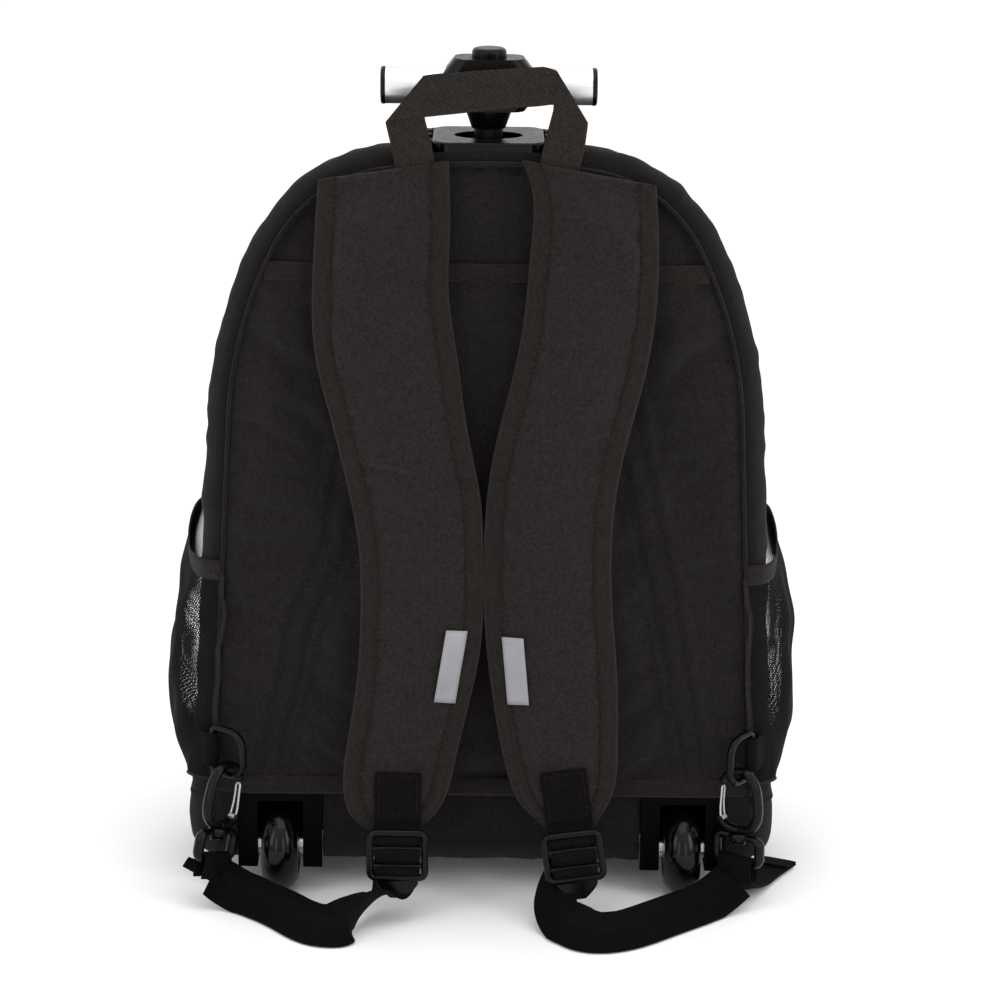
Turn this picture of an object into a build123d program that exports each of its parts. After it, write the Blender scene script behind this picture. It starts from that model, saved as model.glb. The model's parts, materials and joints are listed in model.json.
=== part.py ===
"""Rolling backpack: harness side faces -Y, front pocket faces +Y, wheels and feet stand on z = 0."""
from build123d import *
import os
from math import cos, radians, sin

os.makedirs("parts", exist_ok=True)

# ---------------------------------------------------------------- driving dimensions, millimetres
BACK = -51.944  # y of the flat back face, which centres the whole box on the origin

# Bag body, seen from the back
BAG_TOP = 508
BAG_BOTTOM = 21
CROWN = (64, 504.5)
SHOULDER = (148, 446.5)
FLANK = (180, 323)
TOP_SLOPE = 0.17  # the top falls this much for each millimetre towards the front
BASE_HALF = 195
BASE_CORNER = 22
SHELL = 2.5
BACK_ROUND = 13.9
FRONT_ROUND = 22
SHELL_BACK = 2
ZIP_START = 80
ZIP_END = 96
SHELL_FRONT = 150
BASE_LINE = 66
SEAM_INSET = 16

# Back sleeve
SLEEVE_TOP = 429
SLEEVE_BOTTOM = 68.6
BINDING = 12
SLEEVE_SKIN = 2.5
BACK_PANEL_Y = 8

# Telescopic handle
HANDLE_Y = 36
GRIP_Z = 537.5
GRIP_R = 11.75
GRIP_HALF = 66
STEM_R = 9.25
MID_R = 11.25
OUTER_R = 13
TUBE_FIT = 0.08
TUBE_TOP = 499
BEZEL_TOP = 506
BEZEL_THICK = 11
BEZEL_WIDE = 71
BEZEL_DEEP = 66
BUTTON_R = 11
BOLT_Z = 103
BOLT_R = 3

# Wheels
WHEEL_X = 134
WHEEL_Y = 9.5
WHEEL_R = 30
WHEEL_WIDE = 24
AXLE_R = 3.95
HOUSING_WIDE = 56
HOUSING_LOW = 18
HOUSING_HIGH = 70
HOUSING_DEEP = 62
CAVITY_WIDE = 30.4
CAVITY_HIGH = 64.5
CAVITY_DEEP = 42
WALL = 2.5

# Webbing and harness
WEB_WIDE = 30
WEB_THICK = 1.8

# Mesh side pockets
POCKET_LOW = 64
POCKET_HIGH = 222
POCKET_BACK = 12
POCKET_FRONT = 140
POCKET_X = 217
ELASTIC = 14

# Front pocket
POCKET_HALF = 150
FP_LOW = 72
FP_HIGH = 335
FP_DEEP = 42
FP_ZIP_Z = 292
SLIDER_TRAVEL = 220

GAP = 0.3


def depth(y):
    """Plane facing the harness side, y in front of the back face; its axes are world X and Z."""
    return Plane(origin=(0, BACK + y, 0), x_dir=(1, 0, 0), z_dir=(0, -1, 0))


def across(x):
    """Plane normal to +X whose axes are world Y, counted from the back face, and Z."""
    return Plane(origin=(x, BACK, 0), x_dir=(0, 1, 0), z_dir=(1, 0, 0))


def level(z):
    """Horizontal plane whose y is counted from the back face."""
    return Plane(origin=(0, BACK, z), x_dir=(1, 0, 0), z_dir=(0, 0, 1))


def save(builder, name):
    """Label a finished piece and write its STEP file."""
    builder.part.label = name
    export_step(builder.part, f"parts/{name}.step")


# ---------------------------------------------------------------- bag outline
def bag_face(y, inset):
    """Outline of the bag at one depth, inset all round; the top sinks towards the front."""
    sink = TOP_SLOPE * (y - SHELL_BACK)
    with BuildSketch() as face:
        with BuildLine():
            crown = TangentArc((0, BAG_TOP - sink), (CROWN[0], CROWN[1] - sink), tangent=(1, 0))
            shoulder = TangentArc(crown @ 1, (SHOULDER[0], SHOULDER[1] - sink), tangent=crown % 1)
            flank = TangentArc(shoulder @ 1, (FLANK[0], FLANK[1] - sink / 2), tangent=shoulder % 1)
            Line(flank @ 1, (BASE_HALF, BAG_BOTTOM))
            mirror(about=Plane.YZ)
            Line((-BASE_HALF, BAG_BOTTOM), (BASE_HALF, BAG_BOTTOM))
        make_face()
        fillet(face.vertices().group_by(Axis.Y)[0], BASE_CORNER)
        if inset:
            offset(amount=-inset, kind=Kind.ARC)
    return face.sketch


def bag_block(inset, y_back, y_front, back_round=0, front_round=0):
    """Solid of the bag's outline, inset all round, between two depths, with rounded rims."""
    with BuildPart() as block:
        with BuildSketch(depth(y_back)):
            add(bag_face(y_back, inset))
        with BuildSketch(depth(y_front)):
            add(bag_face(y_front, inset))
        loft(ruled=True)
        if back_round:
            fillet(block.faces().sort_by(Axis.Y)[0].edges(), back_round)
        if front_round:
            fillet(block.faces().sort_by(Axis.Y)[-1].edges(), front_round)
    return block.part


def ribbon_ring(inset_out, inset_in, y_back, y_front):
    """Closed band that follows the bag's outline between two insets and two depths."""
    outer = bag_block(inset_out, y_back, y_front)
    inner = bag_block(inset_in, y_back - 1, y_front + 1)
    return outer - inner


shell = (
    bag_block(0, SHELL_BACK, SHELL_FRONT, BACK_ROUND, FRONT_ROUND)
    - bag_block(
        SHELL,
        SHELL_BACK + SHELL,
        SHELL_FRONT - SHELL,
        BACK_ROUND - SHELL,
        FRONT_ROUND - SHELL,
    )
)
BIG = 1000


def slab(y_low, y_high, z_low, z_high, half=BIG / 2):
    """Plain block between two depths and two heights, centred on x = 0."""
    with BuildPart() as block:
        with BuildSketch(depth(y_high)):
            with Locations((0, (z_low + z_high) / 2)):
                Rectangle(2 * half, z_high - z_low)
        extrude(amount=y_high - y_low)
    return block.part


def housing_block(side, grow=0):
    """Envelope of one wheel housing."""
    with BuildPart() as block:
        with BuildSketch(depth(HOUSING_DEEP + grow)):
            with Locations((side * WHEEL_X, (HOUSING_LOW + HOUSING_HIGH) / 2)):
                Rectangle(HOUSING_WIDE + 2 * grow, HOUSING_HIGH - HOUSING_LOW + 2 * grow)
        extrude(amount=HOUSING_DEEP + 1 + 2 * grow)
    return block.part


bezel_envelope = slab(
    4 - GAP / 2,
    4 + BEZEL_DEEP + GAP / 2,
    BEZEL_TOP - BEZEL_THICK - GAP / 2,
    BAG_TOP + 20,
    BEZEL_WIDE / 2 + GAP / 2,
)

# ---------------------------------------------------------------- bag shell pieces
with BuildPart() as rear_gusset:
    add(shell)
    add(slab(-1, ZIP_START, BASE_LINE, BIG), mode=Mode.INTERSECT)
    add(bag_block(SEAM_INSET, -1, SHELL_BACK + SHELL + 1), mode=Mode.SUBTRACT)
    add(bezel_envelope, mode=Mode.SUBTRACT)
    for side in (-1, 1):
        add(housing_block(side, GAP), mode=Mode.SUBTRACT)
save(rear_gusset, "rear_gusset")

with BuildPart() as main_zip:
    add(shell)
    add(slab(ZIP_START, ZIP_END, BASE_LINE, BIG), mode=Mode.INTERSECT)
save(main_zip, "main_zip")

with BuildPart() as front_shell:
    add(shell)
    add(slab(ZIP_END, BIG, BASE_LINE, BIG), mode=Mode.INTERSECT)
save(front_shell, "front_shell")

with BuildPart() as base_wrap:
    add(shell)
    add(slab(-1, BIG, 0, BASE_LINE), mode=Mode.INTERSECT)
    for side in (-1, 1):
        add(housing_block(side, GAP), mode=Mode.SUBTRACT)
save(base_wrap, "base_wrap")

with BuildPart() as back_panel:
    add(bag_block(7.5, BACK_PANEL_Y, BACK_PANEL_Y + SHELL))
    add(bezel_envelope, mode=Mode.SUBTRACT)
    for side in (-1, 1):
        add(housing_block(side, GAP), mode=Mode.SUBTRACT)
save(back_panel, "back_panel")

with BuildPart() as back_sleeve:
    add(bag_block(SEAM_INSET + GAP, 0, BACK_PANEL_Y - 0.1))
    add(slab(-1, 20, SLEEVE_BOTTOM + 2, SLEEVE_TOP), mode=Mode.INTERSECT)
    sleeve_hollow = bag_block(SEAM_INSET + 6, SLEEVE_SKIN, 20) & slab(-1, 30, SLEEVE_BOTTOM + 8, BIG)
    add(sleeve_hollow, mode=Mode.SUBTRACT)
save(back_sleeve, "back_sleeve")

with BuildPart() as sleeve_bindings:
    tape_sheet = bag_block(SEAM_INSET + GAP, -1.3, -0.1)
    for edge in (SLEEVE_BOTTOM + 2, SLEEVE_TOP - BINDING):
        add(tape_sheet & slab(-3, 1, edge, edge + BINDING))
save(sleeve_bindings, "sleeve_bindings")

with BuildPart() as piping:
    add(ribbon_ring(12.2, 15.8, -1.2, SHELL_BACK - 0.1) & slab(-5, 5, HOUSING_HIGH + 1, BIG))
    add(ribbon_ring(19, 22.5, SHELL_FRONT + 0.1, SHELL_FRONT + 3))
save(piping, "piping")

with BuildPart() as back_stiffener:
    add(bag_block(20, 12, 14.5) & slab(0, 30, HOUSING_HIGH + 4, 480))
save(back_stiffener, "back_stiffener")

with BuildPart() as base_tray:
    with BuildSketch(level(BAG_BOTTOM + SHELL + 0.2)):
        with Locations((0, 72)):
            RectangleRounded(336, 108, 10)
    extrude(amount=3)
    for side in (-1, 1):
        add(housing_block(side, GAP), mode=Mode.SUBTRACT)
    with BuildSketch(level(BAG_BOTTOM + SHELL + 3.2)):
        with Locations((0, HANDLE_Y)):
            Circle(OUTER_R + 4)
            Circle(OUTER_R + 0.05, mode=Mode.SUBTRACT)
    extrude(amount=22)
save(base_tray, "base_tray")

with BuildPart() as front_feet:
    for x in (-WHEEL_X, WHEEL_X):
        with BuildSketch(level(0)):
            with Locations((x, 118)):
                SlotOverall(46, 16)
        extrude(amount=BAG_BOTTOM - 0.1, taper=-4)
save(front_feet, "front_feet")

# ---------------------------------------------------------------- front pocket and zips
with BuildPart() as front_pocket:
    with BuildSketch(depth(SHELL_FRONT + FP_DEEP)):
        with Locations((0, (FP_LOW + FP_HIGH) / 2)):
            RectangleRounded(2 * POCKET_HALF, FP_HIGH - FP_LOW, 34)
    extrude(amount=FP_DEEP - 3.2)
    fillet(front_pocket.faces().sort_by(Axis.Y)[-1].edges(), 14)
    with BuildSketch(depth(SHELL_FRONT + FP_DEEP - SHELL)):
        with Locations((0, (FP_LOW + FP_HIGH) / 2)):
            RectangleRounded(2 * (POCKET_HALF - 14), FP_HIGH - FP_LOW - 28, 20)
    extrude(amount=FP_DEEP, mode=Mode.SUBTRACT)
save(front_pocket, "front_pocket")

with BuildPart() as pocket_zip:
    with BuildSketch(depth(SHELL_FRONT + FP_DEEP + 1.3)):
        with Locations((0, FP_ZIP_Z)):
            Rectangle(SLIDER_TRAVEL + 34, 24)
    extrude(amount=1.2)
    with BuildSketch(depth(SHELL_FRONT + FP_DEEP + 2.3)):
        with Locations((0, FP_ZIP_Z)):
            Rectangle(SLIDER_TRAVEL + 26, 5)
    extrude(amount=1)
save(pocket_zip, "pocket_zip")

ZIP_FACE = SHELL_FRONT + FP_DEEP + 2.3
with BuildPart() as pocket_slider:
    with BuildSketch(depth(ZIP_FACE + GAP + 2.4)):
        with Locations((-SLIDER_TRAVEL / 2, FP_ZIP_Z)):
            RectangleRounded(13, 9, 2)
    extrude(amount=2.4)
    with BuildSketch(across(-SLIDER_TRAVEL / 2 - 1.5)):
        with Locations((ZIP_FACE + GAP + 2.4 + 1.3, FP_ZIP_Z)):
            Rectangle(3.4, 6)
            with Locations((0.3, -0.5)):
                Circle(0.86, mode=Mode.SUBTRACT)
    extrude(amount=3)
save(pocket_slider, "pocket_slider")


def pull_tab(plane, length):
    """Zip pull: a small fork on a hinge pin and a flat moulded tab; the pin is at the origin."""
    with BuildPart() as tab:
        with BuildSketch(plane):
            with Locations((0, -length / 2)):
                RectangleRounded(8, length, 3)
            with Locations((0, -2)):
                Rectangle(4, 9, mode=Mode.SUBTRACT)
        extrude(amount=0.8, both=True)
        with BuildSketch(plane * Plane.YZ):
            Circle(0.78)
        extrude(amount=4, both=True)
        with BuildSketch(plane * Plane.YZ.offset(2)):
            Circle(1.3)
        extrude(amount=2)
        with BuildSketch(plane * Plane.YZ.offset(-4)):
            Circle(1.3)
        extrude(amount=2)
    return tab.part


PULL_Y = ZIP_FACE + GAP + 2.4 + 1.3 + 0.3
pull_centre = (-SLIDER_TRAVEL / 2, BACK + PULL_Y, FP_ZIP_Z - 0.5)
with BuildPart() as pocket_pull:
    add(pull_tab(Plane(origin=pull_centre, x_dir=(1, 0, 0), z_dir=(0, -1, 0)), 26))
save(pocket_pull, "pocket_pull")

SLIDER_X = 34
SLIDER_Y = (ZIP_START + ZIP_END) / 2
SLIDER_Z = BAG_TOP - TOP_SLOPE * (ZIP_START - SHELL_BACK)
with BuildPart() as main_sliders:
    for side in (-1, 1):
        with BuildSketch(level(SLIDER_Z + 0.2)):
            with Locations((side * SLIDER_X, SLIDER_Y)):
                RectangleRounded(14, 10, 2)
        extrude(amount=3)
        with BuildSketch(depth(SLIDER_Y + 1.5)):
            with Locations((side * SLIDER_X, SLIDER_Z + 4.8)):
                Rectangle(6, 3.4)
                with Locations((side * 0.5, 0.2)):
                    Circle(0.86, mode=Mode.SUBTRACT)
        extrude(amount=3)
save(main_sliders, "main_sliders")

for side, name in ((-1, "main_pull_left"), (1, "main_pull_right")):
    with BuildPart() as main_pull:
        add(
            pull_tab(
                Plane(
                    origin=(side * (SLIDER_X + 0.5), BACK + SLIDER_Y, SLIDER_Z + 5),
                    x_dir=(0, side, 0),
                    z_dir=(0, 0, 1),
                ),
                30,
            )
        )
    save(main_pull, name)

# ---------------------------------------------------------------- mesh side pockets
def pocket_block(side, low, high, inset):
    """Bulged block of one side pocket, seen from above as a shallow D against the bag's side."""
    root = POCKET_X - 40
    with BuildPart() as block:
        with BuildSketch(level(low)):
            with BuildLine():
                near = (side * (root + inset), POCKET_BACK + inset)
                far = (side * (root + inset), POCKET_FRONT - inset)
                lip = (side * (POCKET_X - 17), POCKET_BACK + 12 + inset)
                brim = (side * (POCKET_X - 17), POCKET_FRONT - 12 - inset)
                Line(near, lip)
                middle = (POCKET_BACK + POCKET_FRONT) / 2
                ThreePointArc(lip, (side * (POCKET_X - inset), middle), brim)
                Line(brim, far)
                Line(far, near)
            make_face()
        extrude(amount=high - low)
        outward = block.faces().sort_by(Axis.X)[-1 if side > 0 else 0]
        if low < POCKET_HIGH - 1:
            fillet(outward.edges().group_by(Axis.Z)[0], 9)
    return block.part


bag_side = bag_block(-0.2, -5, SHELL_FRONT + 5)
for side, word in ((-1, "left"), (1, "right")):
    with BuildPart() as mesh_pocket:
        add(pocket_block(side, POCKET_LOW, POCKET_HIGH, 0))
        add(pocket_block(side, POCKET_LOW + 1.6, POCKET_HIGH + 5, 1.6), mode=Mode.SUBTRACT)
        add(bag_side, mode=Mode.SUBTRACT)
    save(mesh_pocket, f"mesh_pocket_{word}")

with BuildPart() as pocket_elastics:
    for side in (-1, 1):
        rim = pocket_block(side, POCKET_HIGH, POCKET_HIGH + ELASTIC, 0)
        rim -= pocket_block(side, POCKET_HIGH - 1, POCKET_HIGH + ELASTIC + 1, 2)
        add(rim - bag_side)
save(pocket_elastics, "pocket_elastics")

# ---------------------------------------------------------------- wheels and housings
for side, word in ((-1, "left"), (1, "right")):
    centre = side * WHEEL_X
    with BuildPart() as housing:
        add(housing_block(side))
        with BuildSketch(depth(HOUSING_DEEP + 5)):
            for edge in (-1, 1):
                with Locations((centre + edge * (CAVITY_WIDE + 2 * WALL + 20) / 2, 40)):
                    Rectangle(20, 120)
        extrude(amount=HOUSING_DEEP + 5 - 1.6, mode=Mode.SUBTRACT)
        with BuildSketch(depth(CAVITY_DEEP)):
            with Locations((centre, CAVITY_HIGH - 50)):
                Rectangle(CAVITY_WIDE, 100)
        extrude(amount=CAVITY_DEEP + 5, mode=Mode.SUBTRACT)
        with BuildSketch(depth(HOUSING_DEEP + 5)):
            with Locations((centre, HOUSING_LOW - 10 + (HOUSING_HIGH - WALL - HOUSING_LOW) / 2)):
                Rectangle(CAVITY_WIDE, HOUSING_HIGH - WALL - HOUSING_LOW + 20)
        extrude(amount=HOUSING_DEEP + 5 - CAVITY_DEEP - WALL, mode=Mode.SUBTRACT)
        with BuildSketch(across(centre)):
            with Locations((WHEEL_Y, WHEEL_R)):
                Circle(AXLE_R + 0.05)
        extrude(amount=HOUSING_WIDE, both=True, mode=Mode.SUBTRACT)
    save(housing, f"wheel_housing_{word}")

    with BuildPart() as tyre:
        hub_point = (centre, BACK + WHEEL_Y, WHEEL_R)
        with BuildSketch(Plane(origin=hub_point, x_dir=(1, 0, 0), z_dir=(0, -1, 0))):
            with BuildLine():
                half = WHEEL_WIDE / 2
                tread = ThreePointArc((-half, 22.5), (0, WHEEL_R), (half, 22.5))
                Polyline(tread @ 1, (half, 19.5), (-half, 19.5), tread @ 0)
            make_face()
        revolve(axis=Axis((centre, BACK + WHEEL_Y, WHEEL_R), (1, 0, 0)))
    save(tyre, f"tyre_{word}")

    with BuildPart() as core:
        with BuildSketch(across(centre)):
            with Locations((WHEEL_Y, WHEEL_R)):
                Circle(19.42)
        extrude(amount=WHEEL_WIDE / 2 - 0.5, both=True)
        with BuildSketch(across(centre)):
            with Locations((WHEEL_Y, WHEEL_R)):
                Circle(6.5)
        extrude(amount=WHEEL_WIDE, both=True, mode=Mode.SUBTRACT)
        for face in (-1, 1):
            with BuildSketch(across(centre + face * (WHEEL_WIDE / 2 - 7.5))):
                with Locations((WHEEL_Y, WHEEL_R)):
                    Circle(11.03)
            extrude(amount=face * 10, mode=Mode.SUBTRACT)
            with BuildSketch(across(centre + face * 3)):
                with Locations((WHEEL_Y, WHEEL_R)):
                    with PolarLocations(15.3, 5):
                        Circle(2.6)
            extrude(amount=face * 20, mode=Mode.SUBTRACT)
    save(core, f"wheel_core_{word}")

    with BuildPart() as bearings:
        for face in (-1, 1):
            with BuildSketch(across(centre + face * (WHEEL_WIDE / 2 - 7.4))):
                with Locations((WHEEL_Y, WHEEL_R)):
                    Circle(11)
                    Circle(AXLE_R + 0.05, mode=Mode.SUBTRACT)
            extrude(amount=face * 7)
    save(bearings, f"wheel_bearings_{word}")

with BuildPart() as axle_fasteners:
    for side in (-1, 1):
        for x_low, x_high, radius in (
            (-CAVITY_WIDE / 2 - WALL - 2, CAVITY_WIDE / 2 + WALL + 5, AXLE_R),
            (-CAVITY_WIDE / 2 - WALL - 6, -CAVITY_WIDE / 2 - WALL - 0.1, 6.4),
        ):
            with BuildSketch(across(side * WHEEL_X + x_low)):
                with Locations((WHEEL_Y, WHEEL_R)):
                    Circle(radius)
            extrude(amount=x_high - x_low)
        nut_x = side * WHEEL_X + CAVITY_WIDE / 2 + WALL + 0.1
        with BuildSketch(across(nut_x)):
            with Locations((WHEEL_Y, WHEEL_R)):
                RegularPolygon(7.2, 6)
                Circle(AXLE_R + 0.03, mode=Mode.SUBTRACT)
        extrude(amount=4.5)
        for face in (-1, 1):
            with BuildSketch(across(side * WHEEL_X + face * (WHEEL_WIDE / 2 + 0.1))):
                with Locations((WHEEL_Y, WHEEL_R)):
                    Circle(6.6)
                    Circle(AXLE_R + 0.03, mode=Mode.SUBTRACT)
            extrude(amount=face * (CAVITY_WIDE - WHEEL_WIDE - 0.4) / 2)
save(axle_fasteners, "axle_fasteners")

# ---------------------------------------------------------------- telescopic handle


def tube(name, outer, inner, low, high):
    """Round tube on the handle's axis, written out under its name; the stem has its bolt hole."""
    with BuildPart() as pipe:
        with BuildSketch(level(low)):
            with Locations((0, HANDLE_Y)):
                Circle(outer)
                Circle(inner, mode=Mode.SUBTRACT)
        extrude(amount=high - low)
        if name == "handle_stem":
            with BuildSketch(across(0)):
                with Locations((HANDLE_Y, BOLT_Z)):
                    Circle(BOLT_R + 0.06)
            extrude(amount=20, mode=Mode.SUBTRACT)
    save(pipe, name)


tube("handle_outer_tube", OUTER_R, MID_R + TUBE_FIT, 27, TUBE_TOP)
tube("handle_mid_tube", MID_R, STEM_R + TUBE_FIT, 34, TUBE_TOP)
tube("handle_stem", STEM_R, STEM_R - 1.15, 88, 523)

with BuildPart() as lock_block:
    with BuildSketch(level(90)):
        with Locations((0, HANDLE_Y)):
            Circle(STEM_R - 1.2)
    extrude(amount=30)
    with BuildSketch(level(99)):
        with Locations((0, HANDLE_Y)):
            Circle(3.2)
    extrude(amount=30, mode=Mode.SUBTRACT)
    with BuildSketch(across(0)):
        with Locations((HANDLE_Y, BOLT_Z)):
            Circle(BOLT_R + 0.06)
    extrude(amount=20, mode=Mode.SUBTRACT)
save(lock_block, "lock_block")

with BuildPart() as lock_bolt:
    with BuildSketch(across(3)):
        with Locations((HANDLE_Y, BOLT_Z)):
            Circle(BOLT_R)
    extrude(amount=STEM_R - 3.6)
save(lock_bolt, "lock_bolt")

with BuildPart() as top_bezel:
    with BuildSketch(level(BEZEL_TOP - BEZEL_THICK)):
        with Locations((0, 4 + BEZEL_DEEP / 2)):
            RectangleRounded(BEZEL_WIDE, BEZEL_DEEP, 11)
    extrude(amount=BEZEL_THICK)
    fillet(top_bezel.faces().sort_by(Axis.Z)[-1].edges(), 1.8)
    with BuildSketch(level(BEZEL_TOP - 16)):
        with Locations((0, HANDLE_Y)):
            Ellipse(24.5, 17.5)
    extrude(amount=11)
    with BuildSketch(level(BEZEL_TOP - 9)):
        with Locations((0, HANDLE_Y)):
            Ellipse(22, 15)
    extrude(amount=20, mode=Mode.SUBTRACT)
    with BuildSketch(level(BEZEL_TOP - 30)):
        with Locations((0, HANDLE_Y)):
            Circle(OUTER_R + 0.08)
    extrude(amount=40, mode=Mode.SUBTRACT)
save(top_bezel, "top_bezel")

HUB_HALF = 35
HUB_DEEP = 31
HUB_LOW = 523
HUB_TOP = 556
with BuildPart() as handle_hub:
    with BuildSketch(level(HUB_LOW)):
        with Locations((0, HANDLE_Y)):
            RectangleRounded(46, HUB_DEEP, 9)
    with BuildSketch(level(GRIP_Z + 2)):
        with Locations((0, HANDLE_Y)):
            RectangleRounded(2 * HUB_HALF, HUB_DEEP, 9)
    loft()
    with BuildSketch(level(GRIP_Z + 2)):
        with Locations((0, HANDLE_Y)):
            RectangleRounded(2 * HUB_HALF, HUB_DEEP, 9)
    with BuildSketch(level(HUB_TOP)):
        with Locations((0, HANDLE_Y)):
            RectangleRounded(44, 27, 9)
    loft()
    with BuildSketch(level(511)):
        with Locations((0, HANDLE_Y)):
            Circle(STEM_R + 1.6)
    with BuildSketch(level(HUB_LOW)):
        with Locations((0, HANDLE_Y)):
            Circle(15.2)
    loft()
    with BuildSketch(across(0)):
        with Locations((HANDLE_Y, GRIP_Z)):
            Circle(GRIP_R + 0.1)
    extrude(amount=100, both=True, mode=Mode.SUBTRACT)
    with BuildSketch(level(505)):
        with Locations((0, HANDLE_Y)):
            Circle(STEM_R + 0.05)
    extrude(amount=523.1 - 505, mode=Mode.SUBTRACT)
    with BuildSketch(level(549)):
        with Locations((0, HANDLE_Y)):
            Circle(BUTTON_R + 0.3)
    extrude(amount=20, mode=Mode.SUBTRACT)
    with BuildSketch(level(505)):
        with Locations((0, HANDLE_Y)):
            Circle(4.5)
    extrude(amount=60, mode=Mode.SUBTRACT)
save(handle_hub, "handle_hub")

with BuildPart() as crossbar:
    with BuildSketch(across(-GRIP_HALF)):
        with Locations((HANDLE_Y, GRIP_Z)):
            Circle(GRIP_R)
            Circle(GRIP_R - 1.5, mode=Mode.SUBTRACT)
    extrude(amount=2 * GRIP_HALF)
    with BuildSketch(level(505)):
        with Locations((0, HANDLE_Y)):
            Circle(4.5)
    extrude(amount=60, mode=Mode.SUBTRACT)
save(crossbar, "crossbar")

with BuildPart() as crossbar_caps:
    for side in (-1, 1):
        with BuildSketch(across(side * (GRIP_HALF - 8))):
            with Locations((HANDLE_Y, GRIP_Z)):
                Circle(GRIP_R - 1.6)
        extrude(amount=side * 8)
        with BuildSketch(across(side * (GRIP_HALF + 0.05))):
            with Locations((HANDLE_Y, GRIP_Z)):
                Circle(GRIP_R + 0.3)
        extrude(amount=side * 3)
        with BuildSketch(across(side * (GRIP_HALF - 1))):
            with Locations((HANDLE_Y, GRIP_Z)):
                Circle(GRIP_R - 4)
        extrude(amount=side * 3)
    fillet(crossbar_caps.faces().filter_by(Axis.X).sort_by(Axis.X)[0].edges(), 1.6)
    fillet(crossbar_caps.faces().filter_by(Axis.X).sort_by(Axis.X)[-1].edges(), 1.6)
save(crossbar_caps, "crossbar_caps")

BUTTON_LOW = 554.2
with BuildPart() as release_button:
    with BuildSketch(level(BUTTON_LOW)):
        with Locations((0, HANDLE_Y)):
            Circle(BUTTON_R)
    extrude(amount=562 - BUTTON_LOW)
    fillet(release_button.faces().sort_by(Axis.Z)[-1].edges(), 3)
save(release_button, "release_button")

with BuildPart() as push_rod:
    with BuildSketch(level(111)):
        with Locations((0, HANDLE_Y)):
            Circle(2.5)
    extrude(amount=BUTTON_LOW - 0.02 - 111)
save(push_rod, "push_rod")

SPRING_LOW = 549.9
with BuildPart() as button_spring:
    with BuildLine():
        coil = Helix(
            pitch=1.3,
            height=BUTTON_LOW - SPRING_LOW - 0.9,
            radius=6.4,
            center=(0, BACK + HANDLE_Y, SPRING_LOW + 0.45),
        )
    with BuildSketch(Plane(origin=coil @ 0, z_dir=coil % 0)):
        Circle(0.4)
    sweep()
save(button_spring, "button_spring")

# ---------------------------------------------------------------- grab loop and yoke
LOOP_LEAN = 12
LOOP_FOOT = 494.2
loop_plane = Plane(
    origin=(-2, BACK - 3.2, LOOP_FOOT),
    x_dir=(1, 0, 0),
    z_dir=(0, -cos(radians(LOOP_LEAN)), -sin(radians(LOOP_LEAN))),
)
with BuildPart() as grab_loop:
    with BuildSketch(loop_plane):
        with BuildLine():
            Polyline(
                (-59, 1.5),
                (-63, 27),
                (-62, 33),
                (-40, 60),
                (-30, 64),
                (38, 66),
                (60, 38),
                (62, 12),
                (57, 1.5),
                (33, 1.5),
                (37, 38),
                (-40, 32),
                (-33, 1.5),
                (-59, 1.5),
            )
        make_face()
    extrude(amount=WEB_THICK, both=True)
    for foot in (-48, 43):
        with BuildSketch(across(foot - 12)):
            with Locations((-3.2, LOOP_FOOT)):
                Circle(WEB_THICK)
        extrude(amount=24)
save(grab_loop, "grab_loop")

with BuildPart() as yoke_binding:
    add(ribbon_ring(14.2, 22, SHELL_BACK + SHELL + 0.2, BACK_PANEL_Y - 0.2) & slab(-5, 20, 462, BIG, 116))
save(yoke_binding, "yoke_binding")

# ---------------------------------------------------------------- shoulder straps
with BuildSketch() as strap_face:
    with BuildLine():
        strap_out = Spline(
            (107, 479), (107, 425), (98, 338), (82, 262), (80, 210), (87, 120), (85, 82), (74, 57)
        )
        strap_in = Spline(
            (38, 60), (27, 78), (10, 142), (1.8, 200), (1.8, 256), (17, 352), (27, 420), (26, 488)
        )
        Line(strap_out @ 1, strap_in @ 0)
        Line(strap_in @ 1, strap_out @ 0)
    make_face()
with BuildSketch() as strap_side:
    with BuildLine():
        strap_front = Spline((-11, 490), (-21, 470), (-30, 430), (-33, 300), (-36, 150), (-45, 50))
        strap_rear = Spline((-31, 50), (-22, 150), (-19, 300), (-16, 425), (-9, 462), (-3, 486))
        Line(strap_front @ 1, strap_rear @ 0)
        Line(strap_rear @ 1, strap_front @ 0)
    make_face()

for side, word in ((-1, "left"), (1, "right")):
    with BuildPart() as strap:
        with BuildSketch(depth(40)):
            if side > 0:
                add(strap_face.sketch)
            else:
                mirror(strap_face.sketch, about=Plane.YZ)
        extrude(amount=120)
        with BuildSketch(across(-150)):
            add(strap_side.sketch)
        extrude(amount=300, mode=Mode.INTERSECT)
    save(strap, f"shoulder_strap_{word}")

TAB_X = {-1: -54.5, 1: 54.5}
TAB_TILT = {-1: 0, 1: 8}
TAB_Y = -46.2


def tip_plane(side, y=TAB_Y):
    """Plane at the tip of one shoulder strap, turned with the tip, with its origin at the buckle's top."""
    return Plane(
        origin=(TAB_X[side], BACK + y, 61.5),
        x_dir=(cos(radians(TAB_TILT[side])), 0, sin(radians(TAB_TILT[side]))),
        z_dir=(0, -1, 0),
    )


with BuildPart() as strap_tabs:
    for side in (-1, 1):
        with BuildSketch(tip_plane(side)):
            with Locations((0, 20)):
                Rectangle(WEB_WIDE - 0.5, 38)
        extrude(amount=2)
save(strap_tabs, "strap_tabs")

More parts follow.
